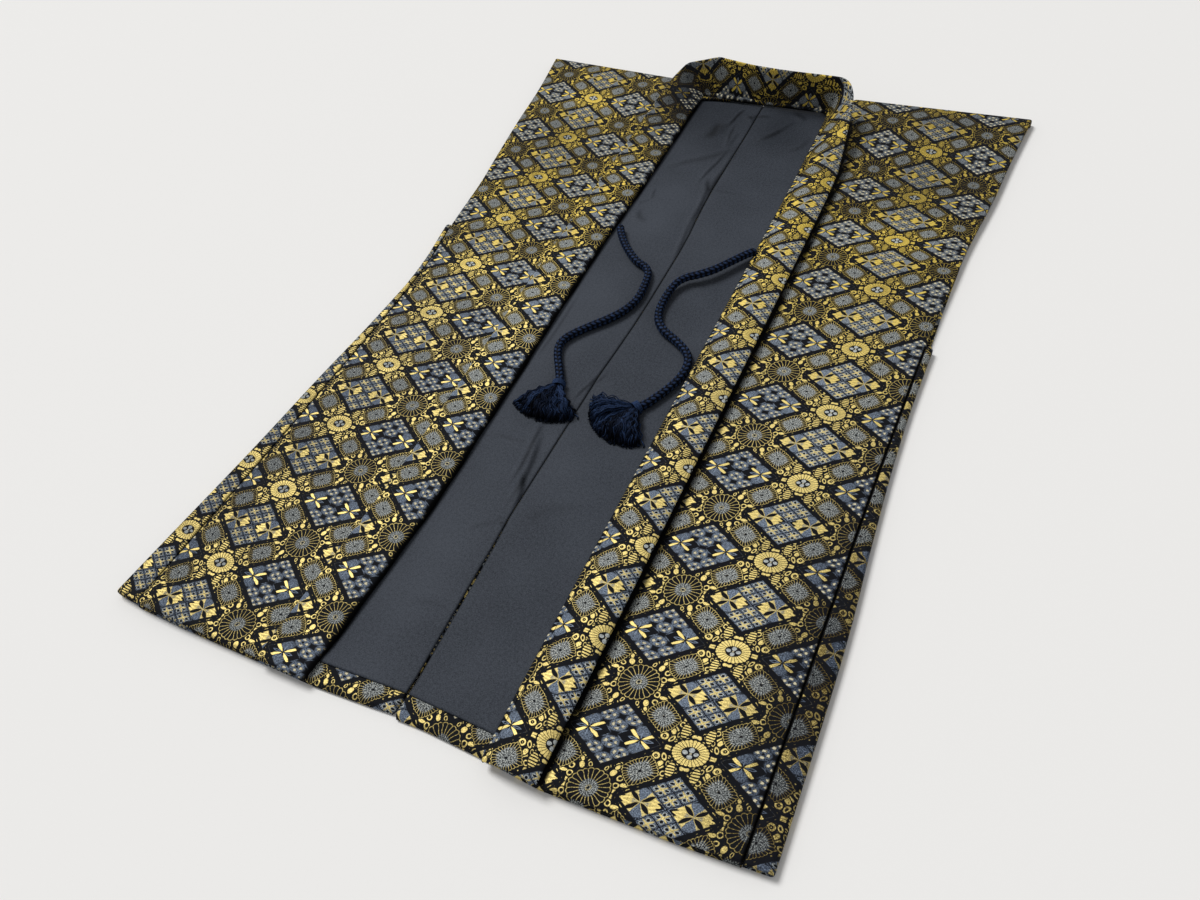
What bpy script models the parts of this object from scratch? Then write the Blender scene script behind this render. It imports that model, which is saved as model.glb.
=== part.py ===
"""Sleeveless haori laid open, front side up, on a flat surface.

Lengths in the tables are millimetres: x runs across the garment (wearer's right side at -x),
y from the hem up to the shoulders, z up from the surface. The cloth lies in four layers: back
panel, lining, front panel, turned-out collar. Each one rests a sewing gap above the layer below.
"""
import math

import bmesh
import bpy
from mathutils import Vector

MM = 0.001
# The middle of the laid outline in the tables' own lengths. The part is placed about it.
ORIGIN = Vector((-0.4, -3.37, 0.0))

# ---- cloth thicknesses and the height of each layer ----
GAP = 0.3
BACK_THICKNESS = 3.0
LINING_THICKNESS = 1.5
FRONT_THICKNESS = 3.0
COLLAR_THICKNESS = 3.0
BACK_MIDDLE = BACK_THICKNESS / 2
LINING_MIDDLE = BACK_THICKNESS + GAP + LINING_THICKNESS / 2
FRONT_MIDDLE = LINING_MIDDLE + LINING_THICKNESS / 2 + GAP + FRONT_THICKNESS / 2
COLLAR_MIDDLE = FRONT_MIDDLE + FRONT_THICKNESS / 2 + GAP + COLLAR_THICKNESS / 2
LINING_TOP = LINING_MIDDLE + LINING_THICKNESS / 2

# ---- lengths along the garment ----
HEM = -431.5
FRONT_HEM = HEM + 0.8
SHOULDER = 427.0
NECK_BASE = 387.0
NECK_HALF_STEP = 1.5
SHOULDER_TURN_UNDER = 8.0
ARMHOLE_END_LEFT = 69.0
ARMHOLE_END_RIGHT = 42.0
ARMHOLE_STEP = 1.0
TURN_UP = 17.5
TURN_UP_SWELL = 1.6
TURN_UP_SLOPE = 1.5
HEM_NOTCH = 1.4
HEM_NOTCH_END = HEM + 2.5 * TURN_UP
LINING_SLIT_MIDDLE = -330.0
LINING_SLIT_END = -262.0

# ---- lines across the garment ----
BACK_SEAM = 8.7
LINING_SEAM = 7.0
LINING_MARGIN = 5.0
LINING_HEM_GAP = 0.6
BACK_INSET = 0.6
FOLD_ROLL = COLLAR_MIDDLE - FRONT_MIDDLE
FRONT_TUCK = 2.2
NECK_TOP_SHARE = 0.2
SECTION_MARGIN = 12.0
PANEL_COLUMNS = 9

# ---- cords and tassels ----
CORD_DIAMETER = 8.0
CORD_POINTS = 32
CORD_REST = LINING_TOP + GAP + CORD_DIAMETER / 2
STRANDS_PER_LAYER = 13
STRAND_SIDES = 3
STRAND_WIDTH = 2.0
HEAD_SIDES = 10

# Sides of the body from hem to shoulder. "edge" is the outline of the laid garment, "seam" is
# where the side gusset joins the front panel. Above the armhole end the seam columns give the
# free edge of the front panel.
SIDES = [
    # y,     left_edge, left_seam, right_seam, right_edge
    (-431.5, -257.0, -233.0, 260.5, 280.0),
    (-275.0, -247.5, -230.0, 261.0, 278.5),
    (-175.0, -243.5, -229.5, 261.2, 273.5),
    (-90.0, -238.5, -229.0, 262.0, 270.0),
    (0.0, -237.0, -232.0, 263.5, 269.3),
    (69.0, -244.5, -242.0, 265.5, 269.0),
    (145.0, -250.0, -250.0, 269.5, 270.5),
    (195.0, -258.0, -258.0, 272.5, 272.8),
    (273.0, -270.0, -270.0, 281.0, 281.0),
    (350.0, -280.0, -280.0, 286.3, 286.3),
    (427.0, -294.3, -294.3, 293.5, 293.5),
]

# How far the laid hem and the laid shoulder fold stand off their straight lines, across the
# garment. The hem's rise dies out above HEM_LINE_END, and the shoulder's below its own start.
HEM_LINE = [
    # x, rise
    (-257.0, 3.8),
    (-228.0, 1.2),
    (-190.0, 0.0),
    (-60.0, -0.3),
    (8.0, 3.3),
    (78.0, 0.5),
    (125.0, -3.0),
    (170.0, -1.2),
    (220.0, 0.4),
    (281.0, 4.5),
]
HEM_LINE_END = -330.0
SHOULDER_LINE = [
    (-294.5, 0.0),
    (-92.0, -11.7),
    (-77.0, 0.0),
    (84.0, 0.0),
    (94.0, -4.4),
    (294.5, 1.6),
]
SHOULDER_LINE_START = 300.0
SHOULDER_LINE_FULL = 408.0

# Facts of each side: direction away from the middle, its edge and seam columns in SIDES, and
# the height where its armhole ends and its gusset starts.
SIDE_FACTS = {
    "left": (-1, 1, 2, ARMHOLE_END_LEFT),
    "right": (1, 4, 3, ARMHOLE_END_RIGHT),
}
# The x of the neckline's lower corner and of the point where it meets the shoulder line.
NECK_FACTS = {
    "left": (-75.5, -98.0),
    "right": (84.0, 103.0),
}

# The front edges, where each front panel is sewn to the collar, and the outline of the collar
# band turned out over it: "fold" is the visible inner edge, "free" the loose outer edge,
# "free_top" the height of that loose edge and "crown" how far the band arches between them.
COLLAR_LEFT = [
    # fold_x, fold_y, free_x, free_y, free_top, crown
    (-65.0, -432.3, -110.0, -432.3, 11.4, 0.0),
    (-60.0, -330.0, -108.0, -330.0, 11.4, 0.0),
    (-59.0, -235.0, -107.0, -235.0, 11.4, 0.0),
    (-63.5, -100.0, -111.5, -100.0, 11.4, 0.0),
    (-68.0, 44.0, -116.5, 44.0, 11.4, 0.0),
    (-69.0, 160.0, -119.5, 160.0, 11.4, 0.0),
    (-69.5, 240.0, -120.5, 240.0, 11.9, 0.3),
    (-71.0, 300.0, -121.0, 302.0, 14.0, 0.8),
    (-72.0, 345.0, -120.0, 349.0, 17.5, 1.0),
    (-72.0, 366.0, -118.5, 373.0, 19.5, 1.0),
]
COLLAR_NECK = [
    (-72.0, 366.3, -118.5, 373.3, 19.5, 1.0),
    (-72.0, 376.0, -116.5, 390.0, 22.5, 1.0),
    (-71.5, 381.0, -109.5, 398.5, 29.5, 1.0),
    (-70.3, 382.8, -101.0, 401.5, 38.0, 0.8),
    (-69.3, 383.3, -96.5, 401.0, 40.5, 0.8),
    (-65.0, 384.0, -77.0, 402.5, 45.8, 0.6),
    (-60.0, 384.2, -59.0, 404.0, 50.3, 0.4),
    (-55.0, 384.0, -52.5, 402.8, 50.6, 0.4),
    (-38.0, 383.5, -34.0, 399.0, 50.6, 0.4),
    (-14.0, 382.7, -11.0, 396.0, 50.0, 0.4),
    (24.0, 383.6, 27.0, 393.5, 50.0, 0.4),
    (60.0, 385.0, 72.0, 392.0, 50.5, 0.4),
    (71.5, 385.0, 92.0, 391.5, 50.0, 0.5),
    (76.0, 383.0, 101.0, 387.0, 48.0, 0.7),
    (78.5, 378.0, 107.5, 376.5, 45.0, 1.0),
    (79.6, 368.0, 112.0, 363.0, 41.5, 1.4),
]
COLLAR_RIGHT = [
    (79.6, 367.7, 112.0, 362.7, 41.5, 1.4),
    (80.2, 345.0, 116.0, 341.5, 36.5, 2.0),
    (80.8, 312.0, 120.3, 310.0, 30.0, 2.8),
    (81.5, 275.0, 125.0, 274.0, 22.5, 3.6),
    (82.0, 235.0, 127.3, 235.0, 18.0, 4.0),
    (82.0, 100.0, 128.3, 100.0, 17.0, 4.2),
    (82.0, -100.0, 128.3, -100.0, 17.0, 4.2),
    (82.0, -300.0, 128.0, -300.0, 16.5, 4.0),
    (82.3, -400.0, 127.6, -401.0, 15.5, 3.4),
    (82.6, -434.4, 127.4, -432.0, 14.0, 2.4),
]

# Routes of the two cords along their centre lines, from the collar to the tassel. "rise" is the
# height of the centre above its height when the cord lies on the lining.
CORD_LEFT = [
    # x,    y,      rise
    (-62.9, 117.0, 1.5),
    (-56.7, 105.9, 0.8),
    (-47.1, 92.7, 0.3),
    (-34.4, 79.3, 0.0),
    (-22.5, 69.8, 0.0),
    (-11.4, 64.3, 0.0),
    (-5.2, 54.8, 0.0),
    (-2.4, 40.6, 0.0),
    (-0.9, 26.2, 0.0),
    (-2.0, 13.1, 0.0),
    (-6.9, -2.0, 0.0),
    (-16.0, -16.8, 0.0),
    (-27.7, -30.9, 0.0),
    (-38.0, -44.5, 0.0),
    (-43.2, -54.6, 0.0),
    (-44.0, -63.9, 0.0),
    (-39.9, -75.2, 0.0),
    (-33.2, -86.7, 0.0),
    (-26.9, -97.2, 0.0),
    (-23.4, -103.9, 0.0),
    (-21.7, -110.0, 0.0),
]
CORD_RIGHT = [
    (77.4, 109.2, 3.6),
    (66.6, 92.6, 4.2),
    (54.8, 75.6, 4.4),
    (43.4, 64.9, 4.2),
    (34.4, 58.2, 3.8),
    (27.8, 49.6, 2.8),
    (24.8, 37.4, 1.4),
    (24.3, 21.2, 0.4),
    (26.2, 6.9, 0.0),
    (31.7, -5.9, 0.0),
    (41.2, -15.4, 0.0),
    (54.8, -23.2, 0.0),
    (68.2, -32.8, 0.0),
    (75.6, -43.8, 0.0),
    (77.4, -57.4, 0.0),
    (75.0, -71.6, 0.0),
    (70.0, -86.0, 0.0),
    (65.0, -96.8, 0.0),
    (61.4, -103.8, 0.0),
    (57.7, -110.4, 0.0),
]

# The head of a tassel in sections from the cord outwards.
TASSEL_HEAD = [
    # distance, half_width, share_of_height
    (0.0, 4.2, 0.75),
    (3.0, 6.3, 0.95),
    (8.0, 8.0, 1.0),
    (13.0, 10.0, 0.92),
]
TASSEL_HEAD_LIFT = 0.2
TASSEL_APEX = 4.0
TASSEL_ROOT = 7.0
TASSEL_ROOT_SPREAD = 5.0
TASSEL_TOP_COVER = 1.5

# Each tassel: half the angle that its fan opens, its reach, and the height of each layer.
TASSELS = {
    "left": (math.radians(42), 46.0, (7.0, 10.6, 14.2)),
    "right": (math.radians(46), 46.0, (7.0, 10.8, 14.6, 18.4)),
}

MATERIALS = {
    "brocade": ((0.20, 0.16, 0.07, 1.0), 0.5, 0.3),
    "lining": ((0.045, 0.050, 0.065, 1.0), 0.7, 0.0),
    "braid": ((0.008, 0.014, 0.045, 1.0), 0.75, 0.0),
}


def clear_scene():
    for old in list(bpy.data.objects):
        bpy.data.objects.remove(old, do_unlink=True)


def make_material(name):
    colour, roughness, metallic = MATERIALS[name]
    material = bpy.data.materials.new(name)
    material.use_nodes = True
    shader = material.node_tree.nodes["Principled BSDF"]
    shader.inputs["Base Color"].default_value = colour
    shader.inputs["Roughness"].default_value = roughness
    shader.inputs["Metallic"].default_value = metallic
    return material


def smooth_rows(rows, steps):
    """Rows between the table's rows, on a smooth curve through every column."""
    result = []
    last = len(rows) - 1
    for i in range(last):
        before, start, end, after = (rows[max(i - 1, 0)], rows[i], rows[i + 1],
                                     rows[min(i + 2, last)])
        for step in range(steps):
            t = step / steps
            result.append(tuple(
                0.5 * (2 * b + (c - a) * t + (2 * a - 5 * b + 4 * c - d) * t * t
                       + (3 * b - a - 3 * c + d) * t ** 3)
                for a, b, c, d in zip(before, start, end, after)))
    result.append(tuple(rows[last]))
    return result


def read_table(rows, key, key_column, column):
    """One column of a table at a key between its rows, held level beyond its ends."""
    ordered = sorted(rows, key=lambda row: row[key_column])
    for low, high in zip(ordered, ordered[1:]):
        if key <= high[key_column]:
            t = max((key - low[key_column]) / (high[key_column] - low[key_column]), 0.0)
            return low[column] + (high[column] - low[column]) * t
    return ordered[-1][column]


def side_at(y, column):
    """One column of the SIDES table at height y of the garment."""
    return read_table(SIDES, y, 0, column)


def fold_at(y, rows):
    """The front edge's x at height y, from a collar table."""
    return read_table(rows, y, 1, 0)


def share_between(value, start, end):
    """0 at the start and 1 at the end, level beyond them."""
    return min(max((value - start) / (end - start), 0.0), 1.0)


def at_hem(point):
    """A point moved along the garment by the lie of the hem."""
    x, y, z = point
    return (x, y + read_table(HEM_LINE, x, 0, 1) * share_between(y, HEM_LINE_END, HEM), z)


def at_shoulder(point):
    """A point moved along the garment by the slope of the shoulders."""
    x, y, z = point
    share = share_between(y, SHOULDER_LINE_START, SHOULDER_LINE_FULL)
    return (x, y + read_table(SHOULDER_LINE, x, 0, 1) * share, z)


def strip_outline(centre, thickness, end_segments=2):
    """The closed outline of a strip of cloth about its centre line, with rounded ends."""
    half = thickness / 2
    normals = []
    for i in range(len(centre)):
        a = Vector(centre[max(i - 1, 0)])
        b = Vector(centre[min(i + 1, len(centre) - 1)])
        along = (b - a).normalized()
        normals.append(Vector((-along.y, along.x)))
    points = [Vector(c) + n * half for c, n in zip(centre, normals)]
    points += end_arc(centre[-1], normals[-1], half, end_segments)
    points += [Vector(c) - n * half for c, n in zip(reversed(centre), reversed(normals))]
    points += end_arc(centre[0], -normals[0], half, end_segments)
    return points


def end_arc(centre, start, radius, segments):
    """Points that round an end off, clockwise from the start direction."""
    angle = math.atan2(start.y, start.x)
    points = []
    for i in range(1, segments + 1):
        turn = angle - math.pi * i / (segments + 1)
        points.append(Vector(centre) + Vector((math.cos(turn), math.sin(turn))) * radius)
    return points


def loft(name, rings, material, collection):
    """A closed solid through equal rings of points, with a flat cap on each end."""
    mesh = bmesh.new()
    rows = [[mesh.verts.new((Vector(point) - ORIGIN) * MM) for point in ring] for ring in rings]
    count = len(rows[0])
    for low, high in zip(rows, rows[1:]):
        for i in range(count):
            k = (i + 1) % count
            mesh.faces.new((low[i], low[k], high[k], high[i]))
    mesh.faces.new(list(reversed(rows[0])))
    mesh.faces.new(rows[-1])
    bmesh.ops.recalc_face_normals(mesh, faces=mesh.faces)
    data = bpy.data.meshes.new(name)
    mesh.to_mesh(data)
    mesh.free()
    data.materials.append(material)
    data.shade_smooth()
    data.set_sharp_from_angle(angle=math.radians(40))
    piece = bpy.data.objects.new(name, data)
    collection.objects.link(piece)
    return piece


def panel_ring(x_low, x_high, y, z, thickness, tilt=0.0):
    """The section of a flat panel across the garment; tilt turns it about the x axis."""
    half = thickness / 2
    run = x_high - x_low - 2 * half
    last = PANEL_COLUMNS - 1
    centre = [(x_low + half + run * i / last, 0.0) for i in range(PANEL_COLUMNS)]
    outline = strip_outline(centre, thickness)
    ring = [(p.x, y - p.y * math.sin(tilt), z + p.y * math.cos(tilt)) for p in outline]
    return [at_hem(at_shoulder(point)) for point in ring]


def hem_steps(thickness):
    """Thin, rounded sections at a folded edge: distance from the edge and share of thickness."""
    return [(0.0, 0.35), (0.12 * thickness, 0.75), (0.45 * thickness, 1.0)]


def body_heights(low, high, gusset_end=None):
    """The heights between two ends at which a panel has a section, in order."""
    heights = [row[0] for row in SIDES if low + SECTION_MARGIN < row[0] < high - SECTION_MARGIN]
    if low < SHOULDER_LINE_START - SECTION_MARGIN < high:
        heights.append(SHOULDER_LINE_START - SECTION_MARGIN)
    if low < HEM_LINE_END < high:
        heights.append(HEM_LINE_END)
    if gusset_end is not None:
        heights = [y for y in heights if abs(y - gusset_end) > 5 * ARMHOLE_STEP]
        heights += [gusset_end - ARMHOLE_STEP, gusset_end + ARMHOLE_STEP]
    return sorted(heights)


def back_panel(side, material, collection):
    """One half of the back, its hem turned up over the lining and its neck cut out."""
    rings = []
    sign, edge, seam, gusset_end = SIDE_FACTS[side]
    neck_corner, neck_point = NECK_FACTS[side]

    def spread(y, inner):
        if y < gusset_end:
            outer = side_at(y, seam) - sign * GAP
        else:
            outer = side_at(y, edge) - sign * BACK_INSET
        return (outer, inner) if side == "left" else (inner, outer)

    def add(y, inner, z, thickness, tilt=0.0):
        low, high = spread(y, inner)
        rings.append(panel_ring(low, high, y, z, thickness, tilt))

    open_side = -HEM_NOTCH / 2 if side == "left" else HEM_NOTCH / 2
    closed_side = -GAP / 2 if side == "left" else GAP / 2
    swell = BACK_THICKNESS + TURN_UP_SWELL
    for distance, share in hem_steps(swell):
        add(HEM + distance, BACK_SEAM + open_side * (2 - share), swell / 2, swell * share)
    add(HEM + TURN_UP - TURN_UP_SLOPE, BACK_SEAM + open_side, swell / 2, swell)
    add(HEM + TURN_UP, BACK_SEAM + open_side, BACK_MIDDLE, BACK_THICKNESS)
    add(HEM_NOTCH_END, BACK_SEAM + closed_side, BACK_MIDDLE, BACK_THICKNESS)
    for y in body_heights(HEM_NOTCH_END, NECK_BASE, gusset_end) + [NECK_BASE]:
        add(y, BACK_SEAM + closed_side, BACK_MIDDLE, BACK_THICKNESS)
    add(NECK_BASE + NECK_HALF_STEP, neck_corner, BACK_MIDDLE, BACK_THICKNESS)
    top = SHOULDER - SHOULDER_TURN_UNDER - GAP
    neck_top = neck_point + (neck_corner - neck_point) * NECK_TOP_SHARE
    for distance, share in reversed(hem_steps(BACK_THICKNESS)):
        add(top - distance, neck_top, BACK_MIDDLE, BACK_THICKNESS * share)
    return loft("back_" + side, rings, material, collection)


def lining_panel(side, material, collection):
    """One half of the lining, from the turned-up hem to the neck and the shoulders."""
    rings = []
    sign, _, seam, _ = SIDE_FACTS[side]
    neck_corner, neck_point = NECK_FACTS[side]

    def add(y, inner, thickness=LINING_THICKNESS):
        outer = side_at(y, seam) - sign * LINING_MARGIN
        low, high = (outer, inner) if side == "left" else (inner, outer)
        rings.append(panel_ring(low, high, y, LINING_MIDDLE, thickness))

    closed = LINING_SEAM + sign * GAP / 2
    opened = closed + (HEM_NOTCH if side == "right" else 0.0)
    low = HEM + TURN_UP + LINING_HEM_GAP
    for distance, share in hem_steps(LINING_THICKNESS):
        add(low + distance, opened, LINING_THICKNESS * share)
    add(LINING_SLIT_MIDDLE, (closed + opened) / 2)
    for y in [LINING_SLIT_END] + body_heights(LINING_SLIT_END, NECK_BASE) + [NECK_BASE]:
        add(y, closed)
    add(NECK_BASE + NECK_HALF_STEP, neck_corner)
    add(SHOULDER - SHOULDER_TURN_UNDER, neck_point + (neck_corner - neck_point) * NECK_TOP_SHARE)
    return loft("lining_" + side, rings, material, collection)


def front_panel(side, material, collection):
    """One front panel, its hem folded and its top brought down over the shoulder line."""
    rings = []
    table = COLLAR_LEFT if side == "left" else COLLAR_RIGHT
    sign, _, seam, gusset_end = SIDE_FACTS[side]
    neck_point = NECK_FACTS[side][1]

    def spread(y):
        outer = side_at(y, seam)
        if y < gusset_end:
            outer -= sign * GAP
        inner = fold_at(y, table) + sign * (COLLAR_THICKNESS / 2 + FRONT_TUCK)
        if y > NECK_BASE:
            inner += (neck_point - inner) * (y - NECK_BASE) / (SHOULDER - NECK_BASE)
        return (outer, inner) if side == "left" else (inner, outer)

    def add(y, z=FRONT_MIDDLE, thickness=FRONT_THICKNESS, tilt=0.0, at=None):
        low, high = spread(y if at is None else at)
        rings.append(panel_ring(low, high, y, z, thickness, tilt))

    for distance, share in hem_steps(FRONT_THICKNESS):
        add(FRONT_HEM + distance, thickness=FRONT_THICKNESS * share)
    for y in body_heights(HEM, NECK_BASE, gusset_end) + [NECK_BASE]:
        add(y)
    radius = (FRONT_MIDDLE - BACK_MIDDLE) / 2
    turn_centre = SHOULDER - radius - FRONT_THICKNESS / 2
    steps = 5
    for i in range(steps + 1):
        angle = math.pi * i / steps
        add(turn_centre + radius * math.sin(angle), BACK_MIDDLE + radius + radius * math.cos(angle),
            tilt=-angle, at=SHOULDER)
    add(SHOULDER - SHOULDER_TURN_UNDER, BACK_MIDDLE, tilt=-math.pi, at=SHOULDER)
    return loft("front_" + side, rings, material, collection)


def gusset(side, material, collection):
    """The side gusset, folded lengthwise: one leaf beside the front panel, one under it."""
    rings = []
    sign, edge, seam, top = SIDE_FACTS[side]
    radius = (FRONT_MIDDLE - BACK_MIDDLE) / 2

    def add(y, share=1.0):
        root = side_at(y, seam)
        half = FRONT_THICKNESS / 2
        reach = abs(side_at(y, edge) - root) - half - radius
        centre = [(half, FRONT_MIDDLE), (max(reach, half + 1.0), FRONT_MIDDLE)]
        steps = 4
        for i in range(1, steps):
            angle = math.pi * i / steps
            centre.append((centre[1][0] + radius * math.sin(angle),
                           BACK_MIDDLE + radius + radius * math.cos(angle)))
        centre.append((centre[1][0], BACK_MIDDLE))
        centre.append((half, BACK_MIDDLE))
        outline = strip_outline(centre, FRONT_THICKNESS * share)
        rings.append([at_hem((root + sign * p.x, y, p.y)) for p in outline])

    for distance, share in hem_steps(FRONT_THICKNESS):
        add(FRONT_HEM + distance, share)
    for y in body_heights(HEM, top):
        add(y)
    for distance, share in reversed(hem_steps(FRONT_THICKNESS)):
        add(top - GAP - distance, share)
    return loft("gusset_" + side, rings, material, collection)


def collar_centre(span, free_middle, crown, points=9):
    """The collar's section: a roll at the front edge, then the band out to its loose edge."""
    roll = min(FOLD_ROLL, 0.3 * span)
    centre = []
    for i in range(3):
        angle = 0.5 * math.pi * i / 3
        centre.append((roll * (1 - math.cos(angle)), FRONT_MIDDLE + FOLD_ROLL * math.sin(angle)))
    start = Vector((roll, FRONT_MIDDLE + FOLD_ROLL))
    end = Vector((span, free_middle))
    chord = end - start
    rise = Vector((-chord.y, chord.x)).normalized()
    for i in range(points - 3):
        t = i / (points - 4)
        centre.append(tuple(start + chord * t + rise * crown * 4 * t * (1 - t)))
    return centre


def collar_piece(name, rows, steps, material, collection):
    """A stretch of the collar band, lofted along the front edge or round the neck."""
    rings = []
    half = COLLAR_THICKNESS / 2
    for fold_x, fold_y, free_x, free_y, free_top, crown in smooth_rows(rows, steps):
        fold = Vector((fold_x, fold_y))
        free = Vector((free_x, free_y))
        out = (free - fold).normalized()
        span = (free - fold).length - 2 * half
        lean = Vector((span, free_top - COLLAR_MIDDLE)).normalized()
        free_middle = free_top - half * lean.x - half * lean.y * 0.3
        outline = strip_outline(collar_centre(span, free_middle, crown), COLLAR_THICKNESS)
        root = fold + out * half
        rings.append([at_hem((root.x + out.x * p.x, root.y + out.y * p.x, p.y)) for p in outline])
    return loft(name, rings, material, collection)


def cord(name, route, material, collection):
    """A round braided cord lying on the lining."""
    dense = smooth_rows([(x, y, CORD_REST + rise) for x, y, rise in route], 12)
    path = [Vector(p) for p in dense]
    lengths = [0.0]
    for a, b in zip(path, path[1:]):
        lengths.append(lengths[-1] + (b - a).length)
    curve = bpy.data.curves.new(name, "CURVE")
    curve.dimensions = "3D"
    curve.bevel_depth = CORD_DIAMETER / 2 * MM
    curve.bevel_resolution = 2
    curve.use_fill_caps = True
    spline = curve.splines.new("POLY")
    spline.points.add(CORD_POINTS - 1)
    k = 0
    for i, point in enumerate(spline.points):
        target = lengths[-1] * i / (CORD_POINTS - 1)
        while k < len(lengths) - 2 and lengths[k + 1] < target:
            k += 1
        t = (target - lengths[k]) / (lengths[k + 1] - lengths[k])
        place = (path[k].lerp(path[k + 1], t) - ORIGIN) * MM
        point.co = (*place, 1.0)
    piece = bpy.data.objects.new(name, curve)
    curve.materials.append(material)
    collection.objects.link(piece)
    return piece


def strand_rings(root, tip, width, droop):
    """Rings of a tapered three-sided strand from the head to its tip."""
    rings = []
    for t in (0.0, 0.45, 1.0):
        centre = root.lerp(tip, t) + Vector((0, 0, droop * 4 * t * (1 - t)))
        size = width * (0.35 + 0.65 * t)
        along = (tip - root).normalized()
        across = along.cross(Vector((0, 0, 1))).normalized()
        ring = []
        for i in range(STRAND_SIDES):
            angle = math.tau * i / STRAND_SIDES + math.pi / 2
            ring.append(centre + across * (size / 2 * math.cos(angle))
                        + Vector((0, 0, size / 2 * math.sin(angle))))
        rings.append(ring)
    return rings


def tassel(name, route, facts, material, collection):
    """A tassel: a flared head with a fan of strands fused to it in layers."""
    spread, length, layers = facts
    before, end = (Vector(row[:2]) for row in smooth_rows(route, 12)[-2:])
    heading = math.atan2(end.y - before.y, end.x - before.x)
    knot = end + (end - before).normalized() * 1.5 * GAP
    head_rings = []
    axis = Vector((math.cos(heading), math.sin(heading), 0.0))
    across = Vector((-axis.y, axis.x, 0.0))
    bottom = LINING_TOP + GAP
    top = layers[-1] + TASSEL_TOP_COVER
    for distance, half_width, share in TASSEL_HEAD:
        half_height = (top - bottom) / 2 * share
        middle = bottom + TASSEL_HEAD_LIFT + half_height
        ring = []
        for i in range(HEAD_SIDES):
            angle = math.tau * i / HEAD_SIDES
            ring.append(Vector((knot[0], knot[1], middle)) + axis * distance
                        + across * (half_width * math.cos(angle))
                        + Vector((0, 0, half_height * math.sin(angle))))
        head_rings.append(ring)
    head = loft(name, head_rings, material, collection)
    strands = []
    middle = (bottom + top) / 2
    apex = Vector((knot[0], knot[1], 0.0)) - axis * TASSEL_APEX
    for level, height in enumerate(layers):
        reach = length * (1.0 - 0.10 * level)
        for i in range(STRANDS_PER_LAYER):
            share = (i + 0.5 * (level % 2)) / (STRANDS_PER_LAYER - 0.5)
            turn = heading + spread * (2 * share - 1)
            out = Vector((math.cos(turn), math.sin(turn), 0.0))
            wave = 1.0 + 0.06 * math.sin(5.1 * i + 2.3 * level)
            root = (Vector((knot[0], knot[1], middle + (height - middle) * 0.45))
                    + axis * TASSEL_ROOT + across * TASSEL_ROOT_SPREAD * math.sin(turn - heading))
            tip_height = max(bottom + 0.9, height - 1.2 - 0.8 * level)
            tip = apex + out * (reach * wave) + Vector((0, 0, tip_height))
            pitch = 2 * spread * reach / STRANDS_PER_LAYER
            rings = strand_rings(root, tip, min(STRAND_WIDTH, 0.62 * pitch), 0.4 + 0.2 * level)
            strands.append(loft("%s_strand_%d_%d" % (name, level, i), rings, material, collection))
    fuse(head, strands)
    return head


def fuse(body, others):
    """Joins other solids to a body and removes them."""
    group = bpy.data.collections.new(body.name + "_strands")
    for other in others:
        group.objects.link(other)
    union = body.modifiers.new("strands", "BOOLEAN")
    union.operation = "UNION"
    union.operand_type = "COLLECTION"
    union.collection = group
    union.solver = "EXACT"
    graph = bpy.context.evaluated_depsgraph_get()
    joined = bpy.data.meshes.new_from_object(body.evaluated_get(graph))
    body.modifiers.clear()
    body.data = joined
    for other in others:
        bpy.data.objects.remove(other, do_unlink=True)
    bpy.data.collections.remove(group)


def build():
    clear_scene()
    garment = bpy.data.collections.new("sleeveless_haori")
    bpy.context.scene.collection.children.link(garment)
    brocade = make_material("brocade")
    lining = make_material("lining")
    braid = make_material("braid")
    for side in ("left", "right"):
        back_panel(side, brocade, garment)
        lining_panel(side, lining, garment)
        front_panel(side, brocade, garment)
        gusset(side, brocade, garment)
    collar_piece("collar_left", COLLAR_LEFT, 1, brocade, garment)
    collar_piece("collar_neck", COLLAR_NECK, 2, brocade, garment)
    collar_piece("collar_right", COLLAR_RIGHT, 1, brocade, garment)
    cord("cord_left", CORD_LEFT, braid, garment)
    cord("cord_right", CORD_RIGHT, braid, garment)
    tassel("tassel_left", CORD_LEFT, TASSELS["left"], braid, garment)
    tassel("tassel_right", CORD_RIGHT, TASSELS["right"], braid, garment)


build()
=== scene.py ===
"""The looks of the sleeveless haori: fine cloth pieces, braided ties, materials and light."""
import math
import random

import bpy
import numpy as np
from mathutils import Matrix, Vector


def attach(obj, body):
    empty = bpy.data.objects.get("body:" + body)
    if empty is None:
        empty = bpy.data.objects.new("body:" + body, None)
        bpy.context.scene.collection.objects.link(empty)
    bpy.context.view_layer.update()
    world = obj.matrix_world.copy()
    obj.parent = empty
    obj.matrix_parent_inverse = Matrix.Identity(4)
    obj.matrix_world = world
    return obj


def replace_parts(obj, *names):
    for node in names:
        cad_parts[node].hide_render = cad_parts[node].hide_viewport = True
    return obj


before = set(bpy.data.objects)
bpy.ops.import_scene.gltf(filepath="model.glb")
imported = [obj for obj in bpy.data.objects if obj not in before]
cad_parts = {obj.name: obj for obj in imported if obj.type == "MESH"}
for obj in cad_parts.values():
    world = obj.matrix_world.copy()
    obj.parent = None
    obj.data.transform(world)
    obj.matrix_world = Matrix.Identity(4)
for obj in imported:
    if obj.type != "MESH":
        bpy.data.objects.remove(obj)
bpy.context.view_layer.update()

# Lengths are millimetres in this script, in the frame of the CAD part, and are turned into metres
# where a mesh is made: x across the garment, y from the hem to the shoulders, z up.
MM = 0.001
# The middle of the laid outline, about which the part is placed.
ORIGIN = np.array([-0.4, -3.37, 0.0])

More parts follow.
